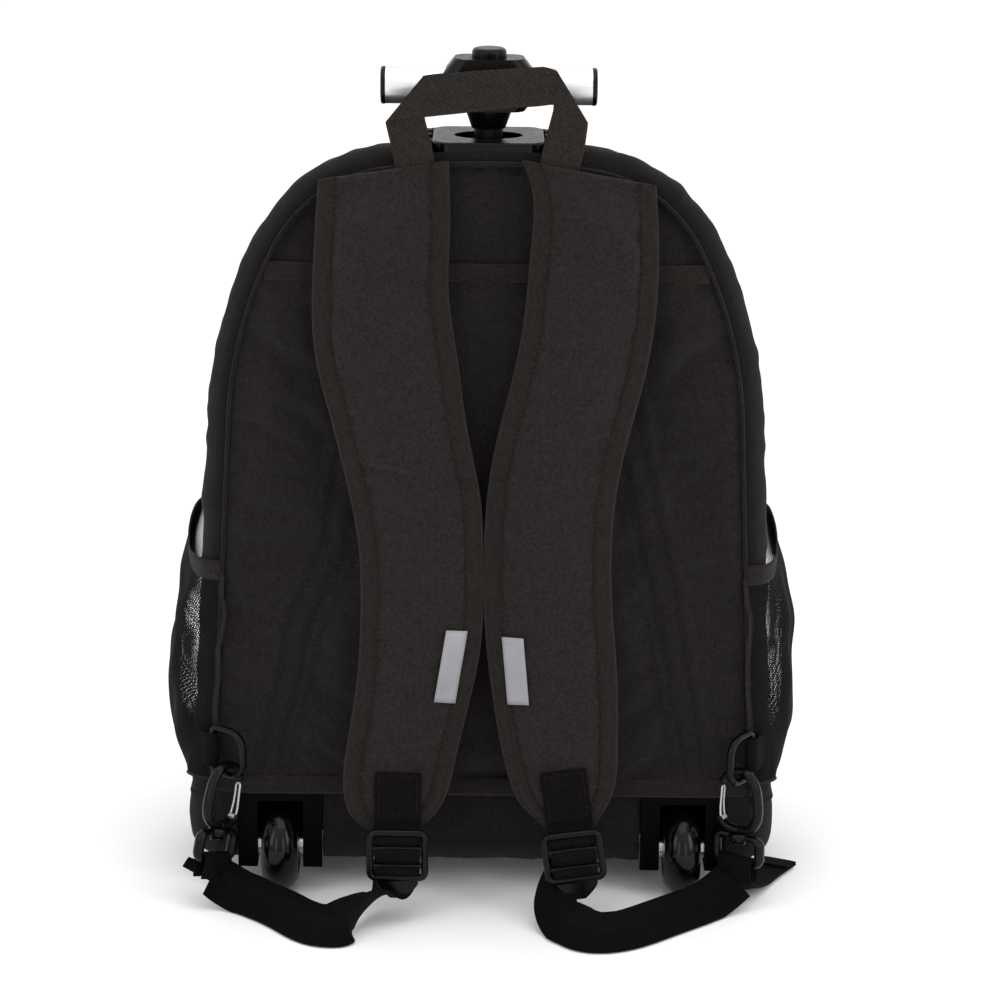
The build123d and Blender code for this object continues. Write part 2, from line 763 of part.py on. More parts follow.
LOCK_Y = TAB_Y + 0.3
with BuildPart() as ladder_locks:
    for side in (-1, 1):
        with BuildSketch(tip_plane(side, LOCK_Y)):
            with Locations((0, -17)):
                RectangleRounded(37, 34, 3.5)
            with Locations((0, -6.5), (0, -16.5), (0, -26.5)):
                RectangleRounded(31, 3.8, 1, mode=Mode.SUBTRACT)
        extrude(amount=4.6)
        with BuildSketch(tip_plane(side, LOCK_Y - 1.5)):
            with Locations((0, -37)):
                RectangleRounded(25, 11, 2.5)
        extrude(amount=2.6)
save(ladder_locks, "ladder_locks")

with BuildPart() as reflective_tabs:
    for side, x, tilt in ((-1, -20.5, -12), (1, 20.5, 8)):
        plane = Plane(
            origin=(x, BACK - 36.6, 170),
            x_dir=(cos(radians(tilt)), 0, sin(radians(tilt))),
            z_dir=(0, -1, 0),
        )
        with BuildSketch(plane):
            Rectangle(14, 46)
        extrude(amount=0.8)
save(reflective_tabs, "reflective_tabs")

# ---------------------------------------------------------------- snap hooks, rings and adjuster webbing
RING_BAR_R = 2.25
RING_X = 177
RING_Y = -9.5
RING_LOW = 88.5
RING_TALL = 31
RING_REACH = 26
RING_LINK = 12
TAB_BORE = 3.5
SIDES = (
    {"side": -1, "word": "left", "turn": 38, "lean": 15},
    {"side": 1, "word": "right", "turn": 55, "lean": 0},
)


def ring_plane(spec):
    """Plane of one D-ring: local x runs out from the tab, local y is up, origin low on the tab's bar."""
    turn = radians(spec["turn"])
    outward = Vector(-spec["side"] * cos(turn), -sin(turn), 0)
    up = Vector(0, 0, 1)
    origin = Vector(spec["side"] * RING_X, BACK + RING_Y, RING_LOW)
    return Plane(origin=origin, x_dir=outward, z_dir=outward.cross(up))


def hook_plane(spec):
    """Plane of one snap hook: local y is up the hook, local x points to its spine, origin in the ring."""
    ring = ring_plane(spec)
    origin = ring.origin + ring.x_dir * RING_LINK
    turn = radians(spec["turn"])
    flat = Vector(spec["side"] * sin(turn), -cos(turn), 0)
    lean = radians(spec["lean"])
    up = Vector(0, 0, 1) * cos(lean) - flat * sin(lean)
    spine = flat * cos(lean) + Vector(0, 0, 1) * sin(lean)
    return Plane(origin=origin, x_dir=spine, z_dir=spine.cross(up))


def d_face(grow, tight, wide):
    """Flat D of the ring's centre line grown by one amount: tight corners on the bar, wide on the bow."""
    with BuildSketch() as face:
        with Locations((RING_REACH / 2, RING_TALL / 2)):
            Rectangle(RING_REACH + 2 * grow, RING_TALL + 2 * grow)
        fillet(face.vertices().group_by(Axis.X)[0], tight)
        fillet(face.vertices().group_by(Axis.X)[-1], wide)
    return face.sketch


HOOK_LOW = -35
for spec in SIDES:
    word = spec["word"]
    with BuildPart() as d_ring:
        with BuildSketch(ring_plane(spec)):
            add(d_face(RING_BAR_R, 4, 13))
            add(d_face(-RING_BAR_R, 1, 8.5), mode=Mode.SUBTRACT)
        extrude(amount=RING_BAR_R, both=True)
    save(d_ring, f"d_ring_{word}")

    frame = hook_plane(spec)
    with BuildPart() as snap_hook:
        with BuildSketch(frame):
            with Locations((0, (8.7 + HOOK_LOW) / 2)):
                RectangleRounded(34, 8.7 - HOOK_LOW, 14)
            with Locations((0.5, -12.7)):
                RectangleRounded(19, 33, 8, mode=Mode.SUBTRACT)
            with Locations((-14, -14.5)):
                Rectangle(14, 21, mode=Mode.SUBTRACT)
        extrude(amount=4, both=True)
        with BuildSketch(frame):
            with Locations((-12.6, -28)):
                Rectangle(9, 9)
        extrude(amount=2.7, both=True, mode=Mode.SUBTRACT)
        with BuildSketch(frame):
            with Locations((-12.6, -28)):
                Circle(1)
        extrude(amount=3, both=True)
        with BuildSketch(frame * Plane(origin=(0, HOOK_LOW + 1, 0), x_dir=(1, 0, 0), z_dir=(0, -1, 0))):
            Circle(3)
        extrude(amount=10)
        with BuildSketch(frame * Plane(origin=(0, HOOK_LOW - 7, 0), x_dir=(1, 0, 0), z_dir=(0, -1, 0))):
            Circle(5)
        extrude(amount=2.2)
    save(snap_hook, f"snap_hook_{word}")

    with BuildPart() as hook_gate:
        with BuildSketch(frame):
            with Locations((-12.6, -28)):
                Circle(2.1)
                Circle(1.06, mode=Mode.SUBTRACT)
        extrude(amount=2.5, both=True)
        for lift in (-1.6, 1.6):
            with BuildSketch(frame * Plane(origin=(-12.6, -26.2, lift), x_dir=(1, 0, 0), z_dir=(0, 1, 0))):
                Circle(0.85)
            extrude(amount=21.4)
        with BuildSketch(frame * Plane(origin=(-12.6, -5.4, 0), x_dir=(1, 0, 0), z_dir=(0, 0, 1))):
            Circle(0.85)
        extrude(amount=2.45, both=True)
    save(hook_gate, f"hook_gate_{word}")

with BuildPart() as swivel_eyes:
    for spec in SIDES:
        frame = hook_plane(spec)
        with BuildSketch(frame):
            with Locations((0, HOOK_LOW - 12)):
                RectangleRounded(36, 23, 5)
            with Locations((0, HOOK_LOW - 12.75)):
                RectangleRounded(28, 12.5, 2, mode=Mode.SUBTRACT)
        extrude(amount=3.4, both=True)
        with BuildSketch(frame * Plane(origin=(0, HOOK_LOW - 0.2, 0), x_dir=(1, 0, 0), z_dir=(0, -1, 0))):
            Circle(6.5)
        extrude(amount=6.2)
        with BuildSketch(frame * Plane(origin=(0, HOOK_LOW + 5, 0), x_dir=(1, 0, 0), z_dir=(0, -1, 0))):
            Circle(3.06)
        extrude(amount=14, mode=Mode.SUBTRACT)
save(swivel_eyes, "swivel_eyes")

with BuildPart() as ring_tabs:
    for spec in SIDES:
        side = spec["side"]
        with BuildSketch(level(RING_LOW + RING_BAR_R + 1)):
            with Locations((side * RING_X, RING_Y)):
                Circle(TAB_BORE + WEB_THICK)
                with Locations((side * 3.4, 3.6)):
                    Rectangle(3.8, 7)
                Circle(TAB_BORE, mode=Mode.SUBTRACT)
        extrude(amount=RING_TALL - 2 * RING_BAR_R - 2)
save(ring_tabs, "ring_tabs")

WEB_HIGH = 26.4
LEFT_WEB = (
    (-40, -53),
    (-70, -53),
    (-80, -84),
    (-97, -95),
    (-119, -77),
    (-136, -62),
    (-154, -46),
    (-176, -34),
)
RIGHT_WEB = (
    (74, -53),
    (46, -53),
    (50, -74),
    (66, -92),
    (84, -84),
    (109, -73),
    (135, -54),
    (153, -32),
    (171, -14),
)
RIGHT_TAIL = ((171, -14), (188, 2), (200, 24), (216, 55))
for word, paths in (("left", (LEFT_WEB,)), ("right", (RIGHT_WEB, RIGHT_TAIL))):
    with BuildPart() as adjuster:
        for path in paths:
            with BuildSketch(level(GAP)):
                with BuildLine():
                    Polyline(*path)
                trace(line_width=WEB_THICK)
            extrude(amount=WEB_HIGH - GAP)
    save(adjuster, f"adjuster_webbing_{word}")
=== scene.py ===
"""Rolling backpack seen from its harness side: the looks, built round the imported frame.

Shapes are written in millimetres with y counted from the bag's back face, as in the design.
row() turns them into the frame's metres.
"""

import json
from math import cos, pi, radians, sin, sqrt, tan

import bmesh
import bpy
import numpy as np
from mathutils import Matrix, Vector


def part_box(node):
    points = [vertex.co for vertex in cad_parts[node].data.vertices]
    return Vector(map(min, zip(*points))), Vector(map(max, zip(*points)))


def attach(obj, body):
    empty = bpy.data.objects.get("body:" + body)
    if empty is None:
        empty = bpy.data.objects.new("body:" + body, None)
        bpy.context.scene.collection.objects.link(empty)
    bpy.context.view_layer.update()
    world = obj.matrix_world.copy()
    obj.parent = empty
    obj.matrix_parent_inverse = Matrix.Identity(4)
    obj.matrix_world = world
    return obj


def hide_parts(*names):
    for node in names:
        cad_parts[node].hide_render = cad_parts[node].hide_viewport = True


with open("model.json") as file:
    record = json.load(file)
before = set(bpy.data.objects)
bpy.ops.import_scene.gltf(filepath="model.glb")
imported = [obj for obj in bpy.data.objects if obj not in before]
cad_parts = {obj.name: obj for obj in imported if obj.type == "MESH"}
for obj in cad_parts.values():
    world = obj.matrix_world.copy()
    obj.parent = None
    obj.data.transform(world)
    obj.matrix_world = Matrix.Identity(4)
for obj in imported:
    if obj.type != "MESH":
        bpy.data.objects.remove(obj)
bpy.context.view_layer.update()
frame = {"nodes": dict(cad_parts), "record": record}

MM = 0.001
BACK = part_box("back_sleeve")[0].y

# ---------------------------------------------------------------- driving dimensions, millimetres
BAG_TOP = 508.0
BAG_BOTTOM = 21.0
CROWN = (64.0, 504.5)
SHOULDER = (148.0, 446.5)
FLANK = (180.0, 323.0)
BASE_HALF = 195.0
BASE_CORNER = 22.0
BACK_ROUND = 13.9
FRONT_ROUND = 22.0
SHELL_BACK = 2.0
SHELL_FRONT = 150.0
TOP_SLOPE = 0.17
BASE_LINE = 66.0
SEAM_INSET = 16.0
SLEEVE_TOP = 429.0
SLEEVE_LOW = 70.6
BINDING = 12.0
WHEEL_X = 134.0
HOUSING_HALF = 28.3
HOUSING_HIGH = 70.3
HOUSING_DEEP = 62.3
POCKET_HALF = 150.0
FP_LOW = 72.0
FP_HIGH = 335.0
FP_DEEP = 42.0


# ---------------------------------------------------------------- points and curves
def row(points):
    """Millimetres counted from the back face, as metres in the frame."""
    placed = np.array(points, float) * MM
    placed[..., 1] += BACK
    return placed


def unit(vectors):
    """The same directions with length 1."""
    return vectors / np.maximum(np.linalg.norm(vectors, axis=-1, keepdims=True), 1e-9)


def even(curve, count):
    """The same line with count points evenly spaced along it."""
    along = np.r_[0, np.cumsum(np.linalg.norm(np.diff(curve, axis=0), axis=1))]
    at = np.linspace(0, along[-1], count)
    return np.stack([np.interp(at, along, curve[:, c]) for c in range(curve.shape[1])], axis=1)


def spline(points, count):
    """Natural cubic spline through the points, with count points evenly spaced along it."""
    knots = np.array(points, float)
    last = len(knots) - 1
    gaps = np.linalg.norm(np.diff(knots, axis=0), axis=1)
    chord = np.r_[0, np.cumsum(gaps)]
    system = np.eye(last + 1)
    right = np.zeros_like(knots)
    for i in range(1, last):
        system[i, i - 1 : i + 2] = gaps[i - 1], 2 * (gaps[i - 1] + gaps[i]), gaps[i]
        right[i] = 6 * ((knots[i + 1] - knots[i]) / gaps[i] - (knots[i] - knots[i - 1]) / gaps[i - 1])
    bend = np.linalg.solve(system, right)
    fine = np.linspace(0, chord[-1], 40 * (last + 1))
    k = np.clip(np.searchsorted(chord, fine, side="right") - 1, 0, last - 1)
    a = ((chord[k + 1] - fine) / gaps[k])[:, None]
    b = 1 - a
    curve = a * knots[k] + b * knots[k + 1]
    curve += ((a**3 - a) * bend[k] + (b**3 - b) * bend[k + 1]) * (gaps[k] ** 2)[:, None] / 6
    return even(curve, count)


def tangent_arc(start, direction, end, count=40):
    """Points of the arc that leaves start along direction and ends at end, and its last direction."""
    start, direction, end = (np.array(v, float) for v in (start, direction, end))
    chord = end - start
    side = np.array([-direction[1], direction[0]])
    radius = chord @ chord / (2 * (side @ chord))
    centre = start + side * radius
    sweep = 2 * np.arctan2(side @ chord, direction @ chord)
    points = []
    for part in np.linspace(0, sweep, count):
        turned = Matrix.Rotation(part, 2) @ Vector(start - centre)
        points.append(centre + np.array(turned))
    return np.array(points), np.array(Matrix.Rotation(sweep, 2) @ Vector(direction))


def bag_outline(depth, count=560):
    """Closed outline of the bag at a depth as x and z, clockwise from the top, and its outward directions."""
    sink = TOP_SLOPE * max(depth - SHELL_BACK, 0)
    crown_end = (CROWN[0], CROWN[1] - sink)
    shoulder_end = (SHOULDER[0], SHOULDER[1] - sink)
    flank_end = (FLANK[0], FLANK[1] - sink / 2)
    crown, heading = tangent_arc((0, BAG_TOP - sink), (1, 0), crown_end)
    shoulder, heading = tangent_arc(crown_end, heading, shoulder_end)
    flank, heading = tangent_arc(shoulder_end, heading, flank_end)
    corner = np.array([BASE_HALF, BAG_BOTTOM])
    down = unit(corner - np.array(flank_end))
    trim = BASE_CORNER * tan(np.arccos(-down[0]) / 2)
    base, heading = tangent_arc(corner - down * trim, down, corner - np.array([trim, 0]))
    half = np.concatenate([crown, shoulder[1:], flank[1:], base, [(0, BAG_BOTTOM)]])
    other = half[::-1] * (-1, 1)
    loop = even(np.concatenate([half, other[1:]]), count + 1)[:-1]
    ahead = unit(np.roll(loop, -1, axis=0) - np.roll(loop, 1, axis=0))
    return loop, np.stack([-ahead[:, 1], ahead[:, 0]], axis=1)


LOOP, OUT = bag_outline(SHELL_BACK)


def half_width(z, inset):
    """Half the bag's width at height z, measured to the outline moved in by inset."""
    line = LOOP - OUT * inset
    right = line[(line[:, 0] > 0) & (line[:, 1] > 60)]
    order = np.argsort(right[:, 1])
    return np.interp(z, right[order, 1], right[order, 0])


def top_height(x, inset):
    """Height of the outline moved in by inset, over x."""
    line = LOOP - OUT * inset
    upper = line[line[:, 1] > 300]
    order = np.argsort(upper[:, 0])
    return np.interp(x, upper[order, 0], upper[order, 1])


def ripple(x, z, size, seed, stretch=1.0):
    """Smooth random field of about unit height whose bumps are size apart."""
    draw = np.random.default_rng(seed)
    total = 0.0
    for _ in range(18):
        angle = draw.uniform(0, 2 * pi)
        rate = 2 * pi / size * draw.uniform(0.55, 1.5)
        total = total + np.sin(rate * (cos(angle) * x * stretch + sin(angle) * z) + draw.uniform(0, 2 * pi))
    return total / 3


def smooth(value):
    """Smooth step from 0 to 1."""
    held = np.clip(value, 0, 1)
    return held * held * (3 - 2 * held)


# ---------------------------------------------------------------- mesh building
class Shape:
    """Faces for one mesh, each corner with a UV in metres."""

    def __init__(self):
        self.verts = []
        self.faces = []
        self.uvs = []

    def grid(self, points, closed=False, flip=False):
        """Surface through points[row][column]; closed joins the last column to the first."""
        points = np.array(points, float)
        if closed:
            points = np.concatenate([points, points[:, :1]], axis=1)
        rows, cols = points.shape[:2]
        zero_col = np.zeros((rows, 1))
        u = np.concatenate(
            [zero_col, np.cumsum(np.linalg.norm(np.diff(points, axis=1), axis=2), axis=1)], axis=1,
        )
        v = np.concatenate(
            [
                zero_col.T[:, :1].repeat(cols, 1),
                np.cumsum(np.linalg.norm(np.diff(points, axis=0), axis=2), axis=0),
            ]
        )
        uv = np.stack([u, v], axis=2) * MM
        start = len(self.verts)
        self.verts.extend(points.reshape(-1, 3).tolist())
        for r in range(rows - 1):
            for c in range(cols - 1):
                ring = [(r, c), (r, c + 1), (r + 1, c + 1), (r + 1, c)]
                if flip:
                    ring.reverse()
                self.faces.append([start + i * cols + j for i, j in ring])
                self.uvs.append([uv[i, j] for i, j in ring])
        return self

    def tube(self, path, radius, sides=10, closed=False, flat=1.0, lay=(0, 1, 0)):
        """Round bar along a path; flat under 1 thins it along lay."""
        path = np.array(path, float)
        if closed:
            ahead = unit(np.roll(path, -1, axis=0) - np.roll(path, 1, axis=0))
        else:
            ahead = unit(np.gradient(path, axis=0))
        normal = np.array(lay, float)
        rings = []
        radii = np.broadcast_to(radius, len(path))
        for point, along, size in zip(path, ahead, radii):
            normal = unit(normal - along * (normal @ along))
            side = np.cross(along, normal)
            turn = np.linspace(0, 2 * pi, sides, endpoint=False)[:, None]
            rings.append(point + size * (np.cos(turn) * side + np.sin(turn) * normal * flat))
        if closed:
            rings.append(rings[0])
        else:
            rings.insert(0, np.repeat([path[0]], sides, axis=0))
            rings.append(np.repeat([path[-1]], sides, axis=0))
        return self.grid(np.array(rings), closed=True)

    def ribbon(self, path, across, width, thick, bow=0.0, ends=True):
        """Flat tape along a path with rounded edges; across is its width direction at each point."""
        path = np.array(path, float)
        across = unit(np.broadcast_to(np.array(across, float), path.shape))
        ahead = unit(np.gradient(path, axis=0))
        face = unit(np.cross(ahead, across))
        across = np.cross(face, ahead)
        half = thick / 2
        widths = np.broadcast_to(width, len(path))[:, None] / 2
        front = [(-1, 0.0), (-1, 0.7), (-0.5, 1.0), (0, 1.0), (0.5, 1.0), (1, 0.7), (1, 0.0)]
        section = front + [(s, -h) for s, h in reversed(front[1:-1])]
        rings = []
        for share, height in section:
            pull = half * 0.5 * (1 - abs(height)) if abs(share) == 1 else 0
            lift = half * height + bow * (1 - share**2)
            rings.append(path + across * share * (widths + pull) + face * lift)
        rings = np.stack(rings, axis=1)
        if ends:
            middle = rings.mean(axis=1, keepdims=True)
            rings = np.concatenate(
                [middle[:1].repeat(rings.shape[1], 1), rings, middle[-1:].repeat(rings.shape[1], 1)]
            )
        return self.grid(rings, closed=True)

    def stitches(self, path, normals, length=2.7, gap=1.5, radius=0.38):
        """Row of sewn threads along a path, each bedded along the surface."""
        path = np.array(path, float)
        total = np.linalg.norm(np.diff(path, axis=0), axis=1).sum()
        count = max(int(total / (length + gap)), 1)
        fine = even(np.concatenate([path, np.broadcast_to(normals, path.shape)], axis=1), 2 * count + 1)
        fine = fine if len(fine) == 2 * count + 1 else fine[: 2 * count + 1]
        for i in range(count):
            here, ahead = fine[2 * i, :3], fine[2 * i + 1, :3]
            normal = unit(fine[2 * i, 3:])
            along = unit(ahead - here)
            steps = np.array([-0.5, -0.3, 0.0, 0.3, 0.5]) * length
            lift = np.array([-0.6, 0.35, 0.6, 0.35, -0.6]) * radius
            line = (here + ahead) / 2 + steps[:, None] * along + lift[:, None] * normal
            self.tube(line, np.array([0.5, 0.95, 1.0, 0.95, 0.5]) * radius, sides=6, lay=normal)
        return self

    def make(self, name, material, slot, body="root", replaces=(), weld=0.02):
        """Turns the faces into a piece that rides on a body."""
        data = bpy.data.meshes.new(name)
        data.from_pydata(row(self.verts).tolist(), [], self.faces)
        layer = data.uv_layers.new(name="UVMap")
        flat = np.array([uv for face in self.uvs for uv in face], np.float32)
        layer.data.foreach_set("uv", flat.ravel())
        piece = bpy.data.objects.new(name, data)
        bpy.context.scene.collection.objects.link(piece)
        tidy = bmesh.new()
        tidy.from_mesh(data)
        bmesh.ops.remove_doubles(tidy, verts=tidy.verts, dist=weld * MM)
        loose = [v for v in tidy.verts if not v.link_faces]
        bmesh.ops.delete(tidy, geom=loose, context="VERTS")
        bmesh.ops.recalc_face_normals(tidy, faces=tidy.faces)
        tidy.to_mesh(data)
        tidy.free()
        data.polygons.foreach_set("use_smooth", [True] * len(data.polygons))
        return dress(piece, material, body, replaces)


def dress(piece, material, body="root", replaces=()):
    """Gives a piece its material and body, and hides the CAD nodes that it stands for."""
    piece.data.materials.clear()
    piece.data.materials.append(material)
    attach(piece, body)
    if replaces:
        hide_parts(*replaces)
    return piece


def cut_box(piece, low, high):
    """Cuts the faces inside a box out of a piece, along clean edges."""
    low, high = Vector(row([low])[0]), Vector(row([high])[0])
    work = bmesh.new()
    work.from_mesh(piece.data)
    for axis in range(3):
        for corner in (low, high):
            normal = Vector((0, 0, 0))
            normal[axis] = 1
            everything = work.verts[:] + work.edges[:] + work.faces[:]
            bmesh.ops.bisect_plane(work, geom=everything, plane_co=corner, plane_no=normal)
    inside = []
    for face in work.faces:
        middle = face.calc_center_median()
        if all(low[a] < middle[a] < high[a] for a in range(3)):
            inside.append(face)
    bmesh.ops.delete(work, geom=inside, context="FACES")
    work.to_mesh(piece.data)
    work.free()


def keep_side(piece, height, above):
    """Keeps the part of a piece above or below a height in millimetres."""
    work = bmesh.new()
    work.from_mesh(piece.data)
    everything = work.verts[:] + work.edges[:] + work.faces[:]
    bmesh.ops.bisect_plane(
        work,
        geom=everything,
        plane_co=(0, 0, height * MM),
        plane_no=(0, 0, 1),
        clear_inner=above,
        clear_outer=not above,
    )
    work.to_mesh(piece.data)
    work.free()


def inflate(piece, pinned, pressure, growth, cap, frames=20, stiffness=15.0):
    """Runs a closed padded form as cloth cut slightly large; pinned vertices stay and cap limits the rest."""
    rest = np.array([v.co for v in piece.data.vertices])
    group = piece.vertex_groups.new(name="seams")
    group.add([int(i) for i in pinned], 1.0, "REPLACE")
    cloth = piece.modifiers.new("cloth", "CLOTH")
    settings = cloth.settings
    settings.vertex_group_mass = "seams"
    settings.quality = 6
    settings.use_pressure = True
    settings.uniform_pressure_force = pressure
    settings.shrink_min = -growth
    settings.tension_stiffness = stiffness
    settings.compression_stiffness = stiffness
    settings.bending_stiffness = 0.4
    settings.effector_weights.gravity = 0
    for step in range(1, frames + 1):
        bpy.context.scene.frame_set(step)
    shown = piece.evaluated_get(bpy.context.evaluated_depsgraph_get())
    moved = np.array([v.co for v in shown.data.vertices]) - rest
    size = np.linalg.norm(moved, axis=1, keepdims=True)
    moved *= np.minimum(1, cap * MM / np.maximum(size, 1e-9))
    piece.modifiers.remove(cloth)
    piece.vertex_groups.clear()
    bpy.context.scene.frame_set(1)
    piece.data.vertices.foreach_set("co", (rest + moved).astype(np.float32).ravel())
    piece.data.update()


def refine(piece, levels=1):
    """Adds subdivision to a piece."""
    step = piece.modifiers.new("smooth", "SUBSURF")
    step.levels = levels
    step.render_levels = levels
    return piece


# ---------------------------------------------------------------- materials
class Graph:
    """Short way to write a material's nodes."""

    def __init__(self, name):
        self.material = bpy.data.materials.new(name)
        self.material.use_nodes = True
        self.nodes = self.material.node_tree.nodes
        self.links = self.material.node_tree.links
        self.shader = self.nodes["Principled BSDF"]

    def set(self, socket, value):
        """Links a socket to a socket, or gives it a plain value."""
        if isinstance(value, bpy.types.NodeSocket):
            self.links.new(value, socket)
        else:
            socket.default_value = value

    def math(self, operation, first, second=0.0, clamp=False):
        node = self.nodes.new("ShaderNodeMath")
        node.operation = operation
        node.use_clamp = clamp
        self.set(node.inputs[0], first)
        self.set(node.inputs[1], second)
        return node.outputs[0]

    def wave(self, value, pitch, phase=0.0):
        """Sine of a length along the surface, one turn in two pitches."""
        angle = self.math("MULTIPLY", value, pi / pitch)
        return self.math("SINE", self.math("ADD", angle, phase))

    def noise(self, scale, detail=3.0, rough=0.6, vector=None, output="Fac"):
        node = self.nodes.new("ShaderNodeTexNoise")
        node.inputs["Scale"].default_value = scale
        node.inputs["Detail"].default_value = detail
        node.inputs["Roughness"].default_value = rough
        self.set(node.inputs["Vector"], vector or self.place())
        return node.outputs[output]

    def place(self):
        """Object coordinates in metres."""
        return self.nodes.new("ShaderNodeTexCoord").outputs["Object"]

    def cloth_axes(self, uv):
        """The two directions along the cloth, from the UV map or from x and z."""
        split = self.nodes.new("ShaderNodeSeparateXYZ")
        if uv:
            self.links.new(self.nodes.new("ShaderNodeTexCoord").outputs["UV"], split.inputs[0])
            return split.outputs[0], split.outputs[1]
        self.links.new(self.place(), split.inputs[0])
        return split.outputs[0], split.outputs[2]

    def blend(self, share, first, second):
        """Colour mix by a share from 0 to 1."""
        node = self.nodes.new("ShaderNodeMix")
        node.data_type = "RGBA"
        self.set(node.inputs["Factor"], share)
        self.set(node.inputs["A"], first)
        self.set(node.inputs["B"], second)
        return node.outputs["Result"]

    def spread(self, value, low, high, to_low=0.0, to_high=1.0):
        node = self.nodes.new("ShaderNodeMapRange")
        for name, number in (("From Min", low), ("From Max", high), ("To Min", to_low), ("To Max", to_high)):
            node.inputs[name].default_value = number
        self.set(node.inputs["Value"], value)
        return node.outputs[0]

    def bump(self, height, distance, strength=1.0, after=None):
        node = self.nodes.new("ShaderNodeBump")
        node.inputs["Strength"].default_value = strength
        node.inputs["Distance"].default_value = distance
        self.set(node.inputs["Height"], height)
        if after is not None:
            self.links.new(after, node.inputs["Normal"])
        return node.outputs[0]

    def finish(self, colour, rough, normal=None, **constants):
        """Sets the shader: linked colour, roughness and normal, and plain constants."""
        self.set(self.shader.inputs["Base Color"], colour)
        self.set(self.shader.inputs["Roughness"], rough)
        if normal is not None:
            self.links.new(normal, self.shader.inputs["Normal"])
        for name, value in constants.items():
            self.shader.inputs[name.replace("_", " ").title().replace("Ior", "IOR")].default_value = value
        return self.material


def tone(red, green, blue, gain=1.0):
    """Linear colour of an sRGB colour from 0 to 255, with a gain."""
    values = []
    for channel in (red, green, blue):
        share = channel / 255
        linear = share / 12.92 if share <= 0.04045 else ((share + 0.055) / 1.055) ** 2.4
        values.append(linear * gain)
    return (*values, 1.0)


def shade(colour, gain):
    """The same colour lighter or darker."""
    return (*(channel * gain for channel in colour[:3]), 1.0)


def plain_weave(graph, u, v, pitch):
    """Pillows of a plain weave: each crossing stands proud along one thread."""
    across = graph.math("ABSOLUTE", graph.wave(u, pitch))
    along = graph.math("ABSOLUTE", graph.wave(v, pitch))
    return graph.math("POWER", graph.math("MULTIPLY", across, along), 0.6)


def herringbone(graph, u, v, pitch):
    """Diagonal ribs that turn back every column."""
    column = graph.math("PINGPONG", u, 3.0 * MM)
    return graph.math("ABSOLUTE", graph.wave(graph.math("ADD", v, column), pitch))


def ribbed(graph, u, v, pitch):
    """Webbing: cross ribs whose columns are staggered by half a rib."""
    column = graph.math("GREATER_THAN", graph.wave(u, 1.6 * MM), 0.0)
    shifted = graph.math("ADD", v, graph.math("MULTIPLY", column, pitch * 0.5))
    rib = graph.math("ABSOLUTE", graph.wave(shifted, pitch))
    edge = graph.math("ABSOLUTE", graph.wave(u, 1.6 * MM))
    return graph.math("MULTIPLY", rib, graph.math("POWER", edge, 0.35))


CLOTH_GAIN = 0.68  # the studio light adds sheen and gloss to the cloth's own colour


def textile(name, colour, pattern, pitch, depth, uv=True, rough=0.82, sheen=0.06, fleck=0.35, gap=0.6):
    """Woven material: thread relief, painted shade in the gaps between threads, flecked yarn, broad fading
    and light dust.
    """
    graph = Graph(name)
    colour = shade(colour, CLOTH_GAIN)
    u, v = graph.cloth_axes(uv)
    threads = pattern(graph, u, v, pitch * MM)
    yarn = graph.noise(1300.0, 2.0, 0.7)
    broad = graph.noise(9.0, 3.0, 0.55)
    fade = graph.spread(broad, 0.3, 0.7, 0.0, 1.0)
    base = graph.blend(fade, shade(colour, 0.9), shade(colour, 1.12))
    heather = graph.noise(480.0, 3.0, 0.75)
    mottled = graph.blend(graph.spread(heather, 0.36, 0.64), shade(colour, 0.4), shade(colour, 1.8))
    ground = graph.blend(0.7, base, mottled)
    flecked = graph.blend(graph.spread(yarn, 0.35, 0.75, 0.0, fleck), ground, shade(colour, 1.9))
    # Painted shade: the colour is darkened towards shade(colour, 0.2) in the gaps between threads, up to the
    # share gap.
    gaps = graph.spread(threads, 0.0, 0.5, gap, 0.0)
    final = graph.blend(gaps, flecked, shade(colour, 0.2))
    relief = graph.bump(threads, depth * MM, 0.8)
    nubs = graph.bump(heather, 0.3 * MM, 0.5, relief)
    fuzz = graph.bump(yarn, 0.12 * MM, 0.35, nubs)
    shine = graph.spread(graph.noise(60.0, 2.0), 0.3, 0.7, rough - 0.06, rough + 0.06)
    return graph.finish(
        final, shine, fuzz, sheen_weight=sheen, sheen_roughness=0.5, specular_ior_level=0.05
    )


def moulded(name, colour, rough, grain=0.04, grain_size=900.0, wear=0.25, level=0.5, coat=0.0):
    """Moulded plastic: fine grain, slight tone variation, rubbed edges and faint scuffs."""
    graph = Graph(name)
    fine = graph.noise(grain_size, 2.0, 0.6)
    scuffs = graph.noise(140.0, 6.0, 0.75)
    broad = graph.noise(18.0, 2.0)
    edges = graph.nodes.new("ShaderNodeNewGeometry").outputs["Pointiness"]
    rubbed = graph.math("MULTIPLY", graph.spread(edges, 0.52, 0.62), wear, clamp=True)
    base = graph.blend(graph.spread(broad, 0.35, 0.65), shade(colour, 0.85), shade(colour, 1.15))
    final = graph.blend(rubbed, base, shade(colour, 3.0))
    shine = graph.spread(scuffs, 0.35, 0.7, rough - 0.07, rough + 0.1)
    relief = graph.bump(fine, grain * MM, 0.6)
    return graph.finish(
        final, shine, relief, specular_ior_level=level, coat_weight=coat, coat_roughness=0.12
    )


